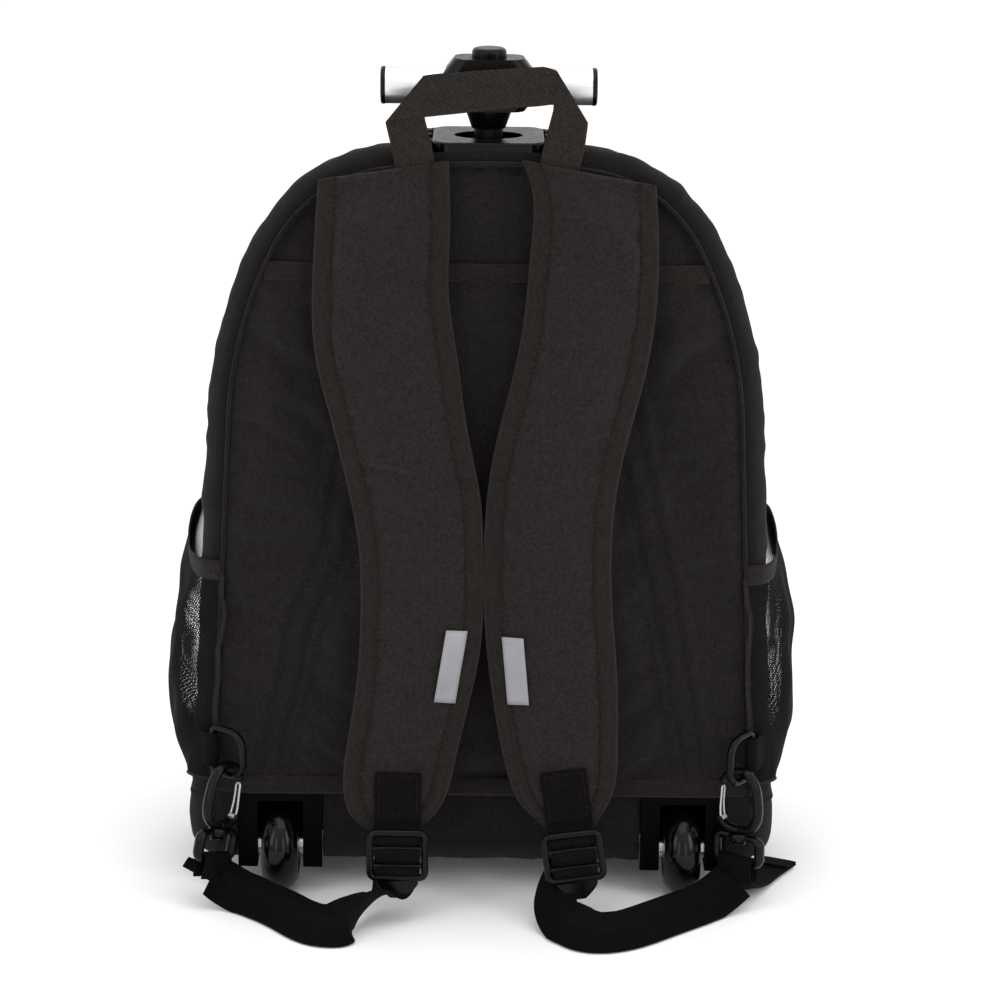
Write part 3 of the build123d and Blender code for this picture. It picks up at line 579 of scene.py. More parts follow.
def metal(name, colour, rough, brush=(40.0, 900.0, 900.0), depth=0.01):
    """Brushed or drawn metal: streaks along one direction in roughness and relief."""
    graph = Graph(name)
    mapping = graph.nodes.new("ShaderNodeMapping")
    mapping.inputs["Scale"].default_value = brush
    graph.links.new(graph.place(), mapping.inputs["Vector"])
    streak = graph.noise(1.0, 4.0, 0.7, mapping.outputs[0])
    smudge = graph.noise(35.0, 3.0)
    base = graph.blend(graph.spread(streak, 0.3, 0.7), shade(colour, 0.9), shade(colour, 1.08))
    shine = graph.math(
        "ADD", graph.spread(streak, 0.3, 0.7, rough - 0.05, rough + 0.07),
        graph.spread(smudge, 0.4, 0.7, 0.0, 0.05),
    )
    relief = graph.bump(streak, depth * MM, 0.5)
    return graph.finish(base, shine, relief, metallic=1.0)


def zip_tape(name, colour):
    """Fine knitted tape."""
    return textile(name, colour, herringbone, 0.9, 0.2, rough=0.8)


MATERIALS = {
    "fabric": textile("pack_fabric", tone(26, 23, 22), plain_weave, 0.75, 0.28),
    "panel": textile("panel_fabric", tone(34, 30, 30), plain_weave, 0.75, 0.28, uv=False),
    "base_fabric": textile("base_fabric", tone(30, 27, 27), plain_weave, 0.8, 0.3),
    "strap_fabric": textile("strap_fabric", tone(41, 36, 36), plain_weave, 0.75, 0.28, fleck=0.45),
    "webbing": textile("webbing", tone(46, 42, 38), ribbed, 1.9, 0.6, rough=0.72, fleck=0.3, gap=0.85),
    # Painted shade: a darker copy of the webbing, without sheen, for the strap tabs, buckle webbing, floor
    # webbing and ring and swivel wraps.
    "shaded_webbing": textile(
        "ribbed_webbing_painted_shade", tone(20, 17, 15), ribbed, 1.9, 0.8, rough=0.7, sheen=0.0, fleck=0.3, gap=0.9,
    ),
    "binding": textile(
        "binding_tape", tone(38, 34, 32), herringbone, 1.5, 0.55, rough=0.75, fleck=0.3, gap=0.8,
    ),
    "mesh": textile("net_yarn", tone(27, 25, 24), ribbed, 0.6, 0.1, rough=0.6),
    "reflective": moulded("reflective_tape", tone(138, 137, 141), 0.42, 0.03, 2200.0, 0.0, 0.3),
    "black_plastic": moulded("black_plastic", tone(5, 4, 5), 0.26, 0.02, 1200.0, 0.1, 0.16),
    "housing_plastic": moulded("housing_plastic", tone(4, 3, 4), 0.45, 0.06, 1000.0, 0.1, 0.03),
    "wheel_tread": moulded("wheel_urethane", tone(4, 3, 4), 0.15, 0.004, 500.0, 0.0, 0.2),
    "wheel_plastic": moulded("wheel_core_plastic", tone(12, 11, 12), 0.34, 0.02, 900.0, 0.2, 0.22),
    "aluminium": metal("satin_aluminium", tone(240, 240, 241), 0.36),
    "dark_aluminium": metal("dark_aluminium", tone(34, 31, 29), 0.4, (900.0, 900.0, 40.0)),
    "steel": metal("bright_steel", tone(180, 178, 175), 0.26, (300.0, 300.0, 60.0)),
    "zip_tape": zip_tape("zip_tape", tone(36, 33, 32)),
    "zip_metal": metal("zip_metal", tone(58, 57, 58), 0.33, (200.0, 200.0, 200.0)),
    "thread": textile("sewing_thread", tone(17, 15, 15), ribbed, 0.35, 0.05, rough=0.6, fleck=0.2),
}

# Every CAD node starts with the material of its own slot.
for entry in frame["record"]["subparts"]:
    node = frame["nodes"][entry["node"]]
    node.data.materials.clear()
    node.data.materials.append(MATERIALS[entry["material_slot"]])


# ---------------------------------------------------------------- shared shape helpers
def normals_of(points, closed=False):
    """Direction out of a grid whose columns run to the right and whose rows run up or forward."""
    if closed:
        across = np.roll(points, -1, axis=1) - np.roll(points, 1, axis=1)
    else:
        across = np.gradient(points, axis=1)
    return unit(np.cross(across, np.gradient(points, axis=0)))


def swell(points, amount, closed=False):
    """Moves every point of a grid out by its own amount."""
    return points + normals_of(points, closed) * np.asarray(amount)[..., None]


def quarter(start, end, turns_first, count=9):
    """Quarter round from start to end as inset and depth pairs."""
    part = np.linspace(0, pi / 2, count)[:, None]
    start, end = np.array(start, float), np.array(end, float)
    ease = np.concatenate([np.sin(part), 1 - np.cos(part)], axis=1)
    if turns_first == "inset":
        return start + (end - start) * ease
    return start + (end - start) * ease[:, ::-1]


def skin(profile):
    """Rows round the bag's outline, one for each inset and depth of the profile."""
    rows = []
    for inset, depth in profile:
        loop, out = bag_outline(depth)
        line = loop - out * inset
        rows.append(np.column_stack([line[:, 0], np.full(len(line), depth), line[:, 1]]))
    return np.array(rows)


def pillow(front, back):
    """Rings that close a front grid over a back grid of the same size, joined along all four sides."""
    back = np.array(back, float)
    back[0], back[-1] = front[0], front[-1]
    back[:, 0], back[:, -1] = front[:, 0], front[:, -1]
    return np.concatenate([front, back[:, ::-1]], axis=1)


def lengths(piece):
    """A piece's points in millimetres, y counted from the back face."""
    points = np.array([v.co for v in piece.data.vertices], float)
    points[:, 1] -= BACK
    return points / MM


def put_back(piece, points):
    """Moves a piece's points to places given in millimetres."""
    piece.data.vertices.foreach_set("co", row(points).astype(np.float32).ravel())
    piece.data.update()


def near_line(x, z, line):
    """Distance in x and z from each point to a line of points."""
    flat = np.stack([np.ravel(x), np.ravel(z)], axis=1)
    best = np.full(len(flat), 1e9)
    for a, b in zip(line[:-1], line[1:]):
        run = b - a
        share = np.clip((flat - a) @ run / (run @ run), 0, 1)[:, None]
        best = np.minimum(best, np.linalg.norm(flat - a - share * run, axis=1))
    return best.reshape(np.shape(x))


def front_of(piece, x, z, behind=0.0):
    """Depth of a piece's harness-side surface at x and z."""
    points = lengths(piece)
    points = points[points[:, 1] < behind]
    x, z = np.atleast_1d(x), np.atleast_1d(z)
    found = []
    for a, b in zip(x, z):
        gap = (points[:, 0] - a) ** 2 + (points[:, 2] - b) ** 2
        close = np.argsort(gap)[:24]
        close = close[np.argsort(points[close, 1])][:4]
        weight = 1 / (gap[close] + 0.5)
        found.append((points[close, 1] * weight).sum() / weight.sum())
    return np.array(found)


# ---------------------------------------------------------------- bag shell
along = np.arange(len(LOOP)) * np.linalg.norm(np.diff(LOOP[:2], axis=0))
around = along / along[-1] * 2 * pi


def loop_ripple(depths, size, seed):
    """Ripples on the bag's skin that close round the outline."""
    girth = along[-1] / (2 * pi)
    total = 0.0
    draw = np.random.default_rng(seed)
    for _ in range(18):
        turns = round(draw.uniform(-2.0, 2.0) * girth * 2 * pi / size)
        rate = 2 * pi / size * draw.uniform(-0.8, 0.8)
        total = total + np.sin(
            turns * around[None, :] + rate * np.array(depths)[:, None] + draw.uniform(0, 6.28)
        )
    return total / 3


rear_profile = [(17.2, 3.2), (15.6, 2.1)]
rear_profile += [tuple(p) for p in quarter((BACK_ROUND, 2), (0, 2 + BACK_ROUND), "inset", 10)]
rear_profile += [(0, y) for y in (20, 26, 32, 38, 44, 50, 56, 62, 68, 73, 77, 79.4)]
rear_profile += [(0.9, 80.4)]
depths = [y for _, y in rear_profile]
rear = skin(rear_profile)
free = np.interp(depths, [2, 8, 20, 60, 76, 80], [0, 0.5, 1, 1, 0.4, 0])[:, None]
pucker = np.interp(depths, [2, 6, 14, 30], [0.1, 0.6, 0.3, 0])[:, None]
folds = 0.9 * free + 0.5 * free * loop_ripple(depths, 60, 3) + 0.3 * free * loop_ripple(depths, 26, 4)
rear = swell(rear, folds + 0.28 * pucker * loop_ripple(depths, 9, 5), closed=True)
gusset = Shape().grid(rear, closed=True).make(
    "rear_gusset_fabric", MATERIALS["fabric"], "fabric", replaces=["rear_gusset"]
)
keep_side(gusset, BASE_LINE, above=True)
cut_box(gusset, (-35.7, 3.8, 494.8), (35.7, 70.3, 520))
for side in (-1, 1):
    cut_box(
        gusset, (side * WHEEL_X - HOUSING_HALF, -5, 10),
        (side * WHEEL_X + HOUSING_HALF, HOUSING_DEEP, HOUSING_HIGH),
    )
refine(gusset)

front_profile = [(0.9, 95.6), (0, 96.6)]
front_profile += [(0, y) for y in (100, 105, 110, 116, 122)]
front_profile += [
    tuple(p)
    for p in quarter((0, SHELL_FRONT - FRONT_ROUND), (FRONT_ROUND, SHELL_FRONT), "depth", 10)
]
depths = [y for _, y in front_profile]
front = skin(front_profile)
free = np.interp(depths, [96, 104, 128, 146, 150], [0, 1, 1, 0.5, 0])[:, None]
folds = 0.8 * free + 0.5 * free * loop_ripple(depths, 70, 13) + 0.3 * free * loop_ripple(depths, 28, 14)
front = swell(front, folds, closed=True)
front_skin = Shape().grid(front, closed=True).make(
    "front_shell_fabric", MATERIALS["fabric"], "fabric", replaces=["front_shell"]
)
keep_side(front_skin, BASE_LINE, above=True)
refine(front_skin)

# Front face inside its seam, crowned a little.
middle = np.array([0.0, 262.0])
front_loop, front_out = bag_outline(SHELL_FRONT)
rim = front_loop - front_out * (FRONT_ROUND - 0.6)
rings = []
for share in np.linspace(1, 0, 30) ** 0.8:
    line = middle + (rim - middle) * share
    lift = 149.4 + 2.4 * (1 - share**4)
    lift = lift + 0.5 * smooth((1 - share) * 6) * ripple(line[:, 0], line[:, 1], 70, 21)
    rings.append(np.column_stack([line[:, 0], np.broadcast_to(lift, len(line)), line[:, 1]]))
front_face = Shape().grid(np.array(rings), closed=True).make(
    "front_face_fabric", MATERIALS["panel"], "fabric",
)
keep_side(front_face, BASE_LINE, above=True)
low_face = Shape().grid(np.array(rings), closed=True).make(
    "front_base_fabric", MATERIALS["base_fabric"], "base_fabric",
)
keep_side(low_face, BASE_LINE, above=False)

# Base: one skin under everything, up to the seam, cut round the wheel housings.
whole = np.concatenate([rear, front])
base = Shape().grid(swell(whole, 0.5 * np.ones(whole.shape[:2]), closed=True), closed=True).make(
    "base_fabric_wrap", MATERIALS["base_fabric"], "base_fabric", replaces=["base_wrap"]
)
keep_side(base, BASE_LINE + 0.4, above=False)
for side in (-1, 1):
    cut_box(
        base, (side * WHEEL_X - HOUSING_HALF, -5, 10),
        (side * WHEEL_X + HOUSING_HALF, HOUSING_DEEP, HOUSING_HIGH),
    )
refine(base)

# The base's back face, between and beside the housings.
panels = Shape()
inner_x = half_width(66, SEAM_INSET - 1.0)
for x_low, x_high in ((-inner_x, -162.4), (-105.6, 105.6), (162.4, inner_x)):
    count = max(int((x_high - x_low) / 4), 4)
    x, z = np.meshgrid(np.linspace(x_low, x_high, count), np.linspace(35, 71.5, 12))
    y = 2.0 - 1.2 * smooth((z - 34) / 8) * (0.6 + 0.4 * ripple(x, z, 45, 31)) + 0.25 * ripple(x, z, 12, 32)
    panels.grid(np.stack([x, y, z], axis=2))
refine(panels.make("base_back_fabric", MATERIALS["base_fabric"], "base_fabric"))

# Seam roll where the base meets the sides and front.
path = []
for inset, depth in rear_profile[2:] + front_profile:
    path.append((half_width(BASE_LINE, inset) + 0.9, depth, BASE_LINE))
path = np.array(path)
across_front = np.column_stack([np.linspace(path[-1, 0], 0, 30), np.full(30, 151.4), np.full(30, BASE_LINE)])
half = np.concatenate([path, across_front[1:]])
full = np.concatenate([half, (half * (-1, 1, 1))[::-1][1:]])
Shape().tube(even(full, 260), 1.3, sides=8).make("base_seam_roll", MATERIALS["base_fabric"], "base_fabric")

# Corded seams: the harness-side seam above the housings, and the front seam.
line = LOOP - OUT * 14.0
path = np.column_stack([line[:, 0], np.full(len(line), -0.2), line[:, 1]])
path = np.roll(path, -len(path) // 2, axis=0)
path = path[path[:, 2] > 71.5]
piping = Shape().tube(path, 1.35, sides=10)
line = front_loop - front_out * 20.8
piping.tube(np.column_stack([line[:, 0], np.full(len(line), 150.8), line[:, 1]]), 1.5, sides=10, closed=True)
piping.make("corded_seams", MATERIALS["base_fabric"], "binding", replaces=["piping"])

# ---------------------------------------------------------------- main zip
tapes = Shape()
for low, high in ((80.2, 87.2), (88.8, 95.8)):
    spread = np.linspace(low, high, 5)
    rows = skin([(0.75 if 0 < i < 4 else 1.2, y) for i, y in enumerate(spread)])
    tapes.grid(rows, closed=True)
tape = tapes.make("main_zip_tape", MATERIALS["zip_tape"], "zip_tape", replaces=["main_zip"])
keep_side(tape, BASE_LINE, above=True)
zip_loop, zip_out = bag_outline(88.0)
fine = zip_loop - zip_out * 0.4
fine = even(np.concatenate([fine, fine[:1]]), 4200)
fine = fine[fine[:, 1] > BASE_LINE]
start = int(np.argmax(np.linalg.norm(np.diff(fine, axis=0), axis=1)))
fine = np.concatenate([fine[start + 1 :], fine[: start + 1]])
path = np.column_stack([fine[:, 0], np.full(len(fine), 88.0), fine[:, 1]])
teeth = 1.45 + 0.45 * np.sin(np.arange(len(path)) * 2 * pi / 6)
Shape().tube(path, teeth, sides=8).make("main_zip_coil", MATERIALS["zip_metal"], "zip_metal")

# ---------------------------------------------------------------- padded back sleeve
V_LEFT = [(-80, 372), (-84, 340), (-90, 289), (-100, 235), (-118, 194), (-127, 152), (-137, 107), (-140, 82)]
V_RIGHT = [(82, 372), (88, 340), (95.5, 304), (111, 237), (123, 183), (133, 128), (138, 103), (141, 82)]
channels = []
for points in (V_LEFT, V_RIGHT):
    centre = spline(points, 60)
    ahead = unit(np.gradient(centre, axis=0))
    aside = np.stack([ahead[:, 1], -ahead[:, 0]], axis=1)
    reach = np.interp(centre[:, 1], [82, 372], [5.5, 9.5])[:, None]
    channels += [centre - aside * reach, centre + aside * reach]


def channel_gap(x, z):
    """Distance to the nearest sewn channel."""
    return np.minimum.reduce([near_line(x, z, line) for line in channels])


def sleeve_depth(x, z):
    """Depth of the sleeve's face before it is inflated."""
    edge = half_width(z, SEAM_INSET - 1.2) - np.abs(x)
    dome = -3.4 * smooth(edge / 26)
    groove = 2.2 * np.exp(-((channel_gap(x, z) / 3.0) ** 2))
    return 2.4 + dome + groove


heights = np.linspace(SLEEVE_LOW, SLEEVE_TOP, 92)
shares = np.sin(np.linspace(-pi / 2, pi / 2, 92)) * 0.35 + np.linspace(-1, 1, 92) * 0.65
grid_x = half_width(heights, SEAM_INSET - 1.2)[:, None] * shares[None, :]
grid_z = np.repeat(heights[:, None], len(shares), axis=1)
face = np.stack([grid_x, sleeve_depth(grid_x, grid_z), grid_z], axis=2)
rear_face = np.stack([grid_x, np.full_like(grid_x, 7.4), grid_z], axis=2)
sleeve = Shape().grid(pillow(face, rear_face), closed=True).make(
    "sleeve_panel", MATERIALS["panel"], "fabric", replaces=["back_sleeve"]
)
points = lengths(sleeve)
edge = half_width(points[:, 2], SEAM_INSET - 1.2) - np.abs(points[:, 0])
held = (points[:, 1] > 5.5) | (edge < 2.2) | (points[:, 2] > 419) | (points[:, 2] < 81)
held |= channel_gap(points[:, 0], points[:, 2]) < 1.7
inflate(sleeve, np.nonzero(held)[0], 3.0, 0.035, 6.0)
points = lengths(sleeve)
edge = half_width(points[:, 2], SEAM_INSET - 1.2) - np.abs(points[:, 0])
seen = (points[:, 1] < 4) & (edge > 1)
pull = np.exp(-((edge / 22.0) ** 2)) * smooth(edge / 3)
tucks = ripple(points[:, 0] * 0.25, points[:, 2], 17, 41)
points[:, 1] += np.where(
    seen, 0.9 * pull * tucks + 0.5 * ripple(points[:, 0], points[:, 2], 55, 42) * smooth(edge / 12), 0,
)
put_back(sleeve, points)
refine(sleeve)

sewing = Shape()
for line in channels:
    line = line[(line[:, 1] > 84) & (line[:, 1] < 345)]
    depth = front_of(sleeve, line[:, 0], line[:, 1], 5.0)
    path = np.column_stack([line[:, 0], depth - 0.15, line[:, 1]])
    sewing.stitches(path, (0, -1, 0))
sewing.make("sleeve_stitching", MATERIALS["thread"], "binding")

tapes = Shape()
tape_spans = (
    (SLEEVE_TOP - BINDING + 0.6, SLEEVE_TOP + 0.8),
    (SLEEVE_LOW - 0.6, SLEEVE_LOW + BINDING),
)
for low, high in tape_spans:
    z = np.linspace(low, high, 6)
    middle_z = (low + high) / 2
    x = np.linspace(-1, 1, 120) * (half_width(middle_z, SEAM_INSET - 1.0))
    rows = []
    for i, height in enumerate(z):
        rounded = 0.7 * (abs(i - 2.5) / 2.5) ** 3
        base_y = sleeve_depth(x, np.full_like(x, np.clip(height, SLEEVE_LOW + 1, SLEEVE_TOP - 1)))
        y = np.minimum(base_y, 1.6) - 1.3 + rounded
        rows.append(np.column_stack([x, y, np.full_like(x, height)]))
    tapes.grid(np.array(rows).transpose(1, 0, 2), flip=True)
sleeve_tape = tapes.make("sleeve_binding_tape", MATERIALS["binding"], "binding", replaces=["sleeve_bindings"])
solid = sleeve_tape.modifiers.new("thickness", "SOLIDIFY")
solid.thickness = 0.9 * MM
solid.offset = -1

# ---------------------------------------------------------------- upper back panel
columns = np.linspace(-1, 1, 90) * (half_width(430, 15.0) - 0.5)
tops = top_height(columns, 15.0)
shares = np.linspace(0, 1, 26)
grid_x = np.repeat(columns[None, :], len(shares), axis=0)
grid_z = 414 + shares[:, None] * (np.maximum(tops, 416)[None, :] - 414)
edge = np.minimum(near_line(grid_x, grid_z, LOOP - OUT * 15.0), 60)
grid_y = 4.6 - 3.6 * smooth(edge / 30) + 0.7 * smooth(edge / 20) * ripple(grid_x, grid_z, 50, 51)
grid_y += 0.5 * np.exp(-((edge / 9) ** 2)) * ripple(grid_x, grid_z * 0.3, 11, 52)
grid_y[:2] += 3
panel = np.stack([grid_x, grid_y, grid_z], axis=2)
back = panel.copy()
back[:, :, 1] = 9.8
upper = Shape().grid(pillow(panel, back), closed=True).make(
    "upper_back_panel", MATERIALS["panel"], "fabric", replaces=["back_panel"]
)
refine(upper)


# ---------------------------------------------------------------- shoulder straps
FRONT_PROFILE = [
    (-4, 497), (-9, 486), (-18, 470), (-28, 430), (-32, 380), (-33.5, 300), (-34.5, 200), (-37, 150),
    (-42, 100), (-46, 56),
]
REAR_PROFILE = [
    (0.5, 497), (-2, 486), (-7, 462), (-14, 425), (-17, 380), (-19, 300), (-20, 220), (-23, 150),
    (-28, 100), (-33, 56),
]
front_curve = spline(FRONT_PROFILE, 200)
rear_curve = spline(REAR_PROFILE, 200)
STRAPS = {
    "left": {
        "outer": [
            (-106, 484), (-108.6, 432), (-107, 373), (-97.6, 334), (-87.9, 294), (-80.1, 254),
            (-78.2, 205), (-80.1, 164), (-86, 122), (-89.3, 90), (-83.5, 68), (-68, 58),
        ],
        "inner": [
            (-26, 496), (-25, 445), (-25.6, 421), (-20, 377), (-12.7, 327), (-3.6, 279), (-1.6, 239),
            (-2.6, 185), (-9.2, 148), (-18.7, 106), (-29, 74), (-46, 58),
        ],
    },
    "right": {
        "outer": [
            (105, 482), (107, 446), (105, 395), (98.4, 356), (89.5, 320), (82.6, 280), (80.7, 239.5),
            (83, 198.5), (86.3, 157), (87.2, 116), (84.6, 86), (70, 60),
        ],
        "inner": [
            (22.5, 497), (28.8, 480), (28.8, 445), (24.8, 398), (17.7, 359), (6.7, 311), (1.8, 271),
            (0.8, 239), (2, 198), (8.5, 144), (16.9, 102), (26, 79), (46, 61),
        ],
    },
}
CREASES = {
    "left": [([(-98, 296), (-78, 303), (-52, 298)], 3.4, 2.6), ([(-66, 262), (-46, 268), (-24, 258)],
        3.0, 1.5),
             ([(-70, 213), (-48, 222), (-22, 212)], 3.2, 1.7), ([(-104, 404), (-86, 400)], 4.0, 1.2)],
    "right": [([(34, 176), (48, 164), (62, 150)], 3.6, 1.8), ([(20, 345), (40, 352), (60, 350)], 3.4, 1.1),
              ([(58, 210), (74, 200)], 3.2, 1.2), ([(40, 268), (62, 276), (78, 272)], 3.2, 1.1)],
}
EDGE_HALF = 2.3
TAPE_REACH = 12.0


def strap_form(spec, count=112):
    """Stations down a strap: both edges, the mid depth and half the thickness of the foam."""
    outer = spline(spec["outer"], count)
    inner = spline(spec["inner"], count)
    height = (outer[:, 1] + inner[:, 1]) / 2
    near = np.interp(-height, -front_curve[:, 1], front_curve[:, 0])
    far = np.interp(-height, -rear_curve[:, 1], rear_curve[:, 0])
    foam = (far - near) / 2
    taper = smooth((497 - height) / 40) * smooth((height - 52) / 26)
    return outer, inner, (near + far) / 2, EDGE_HALF + np.maximum(foam - EDGE_HALF, 0) * taper


def strap_points(form, reach, face, lift=0.0):
    """Points reach millimetres in from the outer (positive) or inner (negative) edge, on one face."""
    outer, inner, depth, foam = form
    half = np.linalg.norm(outer - inner, axis=1) / 2
    share = np.clip(np.abs(reach) / half, 0, 1)
    sign = 1.0 if reach > 0 or (reach == 0 and not np.signbit(reach)) else -1.0
    place = (outer + inner) / 2 + (outer - inner) / 2 * (sign * (1 - share))[:, None]
    crown = smooth(np.minimum(np.abs(reach), half) / 30) ** 0.85
    y = depth + face * (EDGE_HALF + (foam - EDGE_HALF) * crown + lift)
    return np.column_stack([place[:, 0], y, place[:, 1]])


straps = {}
for word, spec in STRAPS.items():
    form = strap_form(spec)
    outer, inner, depth, foam = form
    half = np.linalg.norm(outer - inner, axis=1) / 2
    shares = np.concatenate(
        [np.linspace(0, 0.42, 10)[:-1], np.linspace(0.42, 1.58, 12), np.linspace(1.58, 2, 10)[1:]]
    )
    near, far = [], []
    for k in range(len(outer)):
        line_front, line_rear = [], []
        for share in shares:
            place = outer[k] + (inner[k] - outer[k]) * share / 2
            inward = min(share, 2 - share) * half[k]
            crown = float(smooth(inward / 30) ** 0.85)
            thick = EDGE_HALF + (foam[k] - EDGE_HALF) * crown
            line_front.append((place[0], depth[k] - thick, place[1]))
            line_rear.append((place[0], depth[k] + thick, place[1]))
        near.append(line_front)
        far.append(line_rear)
    near, far = np.array(near), np.array(far)
    if word == "left":
        near, far = near[:, ::-1], far[:, ::-1]
    strap = Shape().grid(np.concatenate([near, far[:, ::-1]], axis=1), closed=True)
    strap.grid(np.stack([near[0], far[0]]), flip=True)
    strap.grid(np.stack([near[-1], far[-1]]))
    strap = strap.make(
        f"shoulder_strap_pad_{word}", MATERIALS["strap_fabric"], "strap_fabric",
        replaces=[f"shoulder_strap_{word}"],
    )
    points = lengths(strap)
    edge = np.minimum(
        near_line(points[:, 0], points[:, 2], outer), near_line(points[:, 0], points[:, 2], inner),
    )
    held = (edge < TAPE_REACH) | (points[:, 2] > 480) | (points[:, 2] < 80)
    inflate(strap, np.nonzero(held)[0], 3.0, 0.03, 5.0)
    points = lengths(strap)
    seen = points[:, 1] < np.interp(-points[:, 2], -(outer[:, 1] + inner[:, 1]) / 2, depth)
    free = smooth((edge - 9) / 12)
    seed = 61 if word == "left" else 62
    wave = 0.7 * ripple(points[:, 0], points[:, 2], 62, seed) + 0.22 * ripple(
        points[:, 0] * 0.4, points[:, 2], 13, seed + 5,
    )
    for line, width, deep in CREASES[word]:
        curve = spline(line, 12) if len(line) > 2 else np.array(line, float)
        gap = near_line(points[:, 0], points[:, 2], curve)
        wave += deep * np.exp(-((gap / width) ** 2)) - 0.45 * deep * np.exp(
            -(((gap - 2.2 * width) / width) ** 2)
        )
    tuck = 0.35 * np.exp(-(((edge - 13) / 5) ** 2)) * ripple(points[:, 0] * 0.2, points[:, 2], 12, seed + 9)
    points[:, 1] += np.where(seen, free * wave + tuck, 0)
    put_back(strap, points)
    refine(strap)
    straps[word] = (strap, form)

    tape = Shape()
    sewing = Shape()
    for sign in (1.0, -1.0):
        section = []
        for reach in (TAPE_REACH, 9.0, 6.0, 3.0, 0.8):
            section.append(strap_points(form, sign * reach, -1, 0.75 if reach < TAPE_REACH else 0.15))
        edge_line = outer if sign > 0 else inner
        aside = unit((outer - inner) * sign)
        for face, push in ((-1, 0.9), (0, 1.5), (1, 0.9)):
            rim = edge_line + aside * push
            section.append(np.column_stack([rim[:, 0], depth + face * EDGE_HALF * 0.95, rim[:, 1]]))
        for reach in (0.8, 3.0, 6.0, 9.0, TAPE_REACH):
            section.append(strap_points(form, sign * reach, 1, 0.75 if reach < TAPE_REACH else 0.15))
        tape.grid(np.stack(section, axis=1), flip=sign > 0)
        seam = strap_points(form, sign * 10.2, -1, 0.75)
        sewing.stitches(seam, (0, -1, 0), length=2.5, gap=1.3)
    tape = tape.make(f"strap_binding_{word}", MATERIALS["binding"], "binding")
    refine(tape)
    sewing.make(f"strap_stitching_{word}", MATERIALS["thread"], "binding")


# ---------------------------------------------------------------- reflective tabs, strap tabs and buckles
reflectors = Shape()
for word, top, low in (("left", (-17.0, 195.6), (-24.6, 147.2)), ("right", (18.9, 191.6), (23.1, 146.4))):
    line = np.linspace(top, low, 14)
    ahead = unit(line[-1] - line[0])
    aside = np.array([-ahead[1], ahead[0]])
    if aside[0] < 0:
        aside = -aside
    rows = []
    for share in np.linspace(-1, 1, 7):
        place = line + aside * share * 7.0
        y = front_of(straps[word][0], place[:, 0], place[:, 1], -20.0) - 1.25
        rows.append(np.column_stack([place[:, 0], y, place[:, 1]]))
    rows = np.array(rows).transpose(1, 0, 2)
    for _ in range(3):
        rows[1:-1, :, 1] = (rows[:-2, :, 1] + rows[2:, :, 1] + 2 * rows[1:-1, :, 1]) / 4
        rows[:, 1:-1, 1] = (rows[:, :-2, 1] + rows[:, 2:, 1] + 2 * rows[:, 1:-1, 1]) / 4
    behind = rows.copy()
    behind[:, :, 1] += 0.7
    reflectors.grid(rows)
    reflectors.grid(behind, flip=True)
    for line_a, line_b in (
        (rows[0], behind[0]), (rows[-1], behind[-1]), (rows[:, 0], behind[:, 0]),
        (rows[:, -1], behind[:, -1]),
    ):
        reflectors.grid(np.stack([line_a, line_b]))
reflectors.make("reflective_tape_tabs", MATERIALS["reflective"], "reflective", replaces=["reflective_tabs"])

TIPS = {
    "left": {"x": -54.6, "tilt": 0.0, "top": 101.5, "x_top": -54.5},
    "right": {"x": 58.5, "tilt": 8.0, "top": 104.5, "x_top": 51.5},
}
tabs = Shape()
locks = Shape()
straight = Shape()
sewing = Shape()


def tip_point(tip, across, depth, height):
    """A place by a strap tip: across and height turn with the tip about the buckle's top."""
    turn = radians(tip["tilt"])
    x, z = across, height - 61.0
    return (tip["x"] + x * cos(turn) + z * sin(turn) * -1, depth, 61.0 + z * cos(turn) + x * sin(turn))


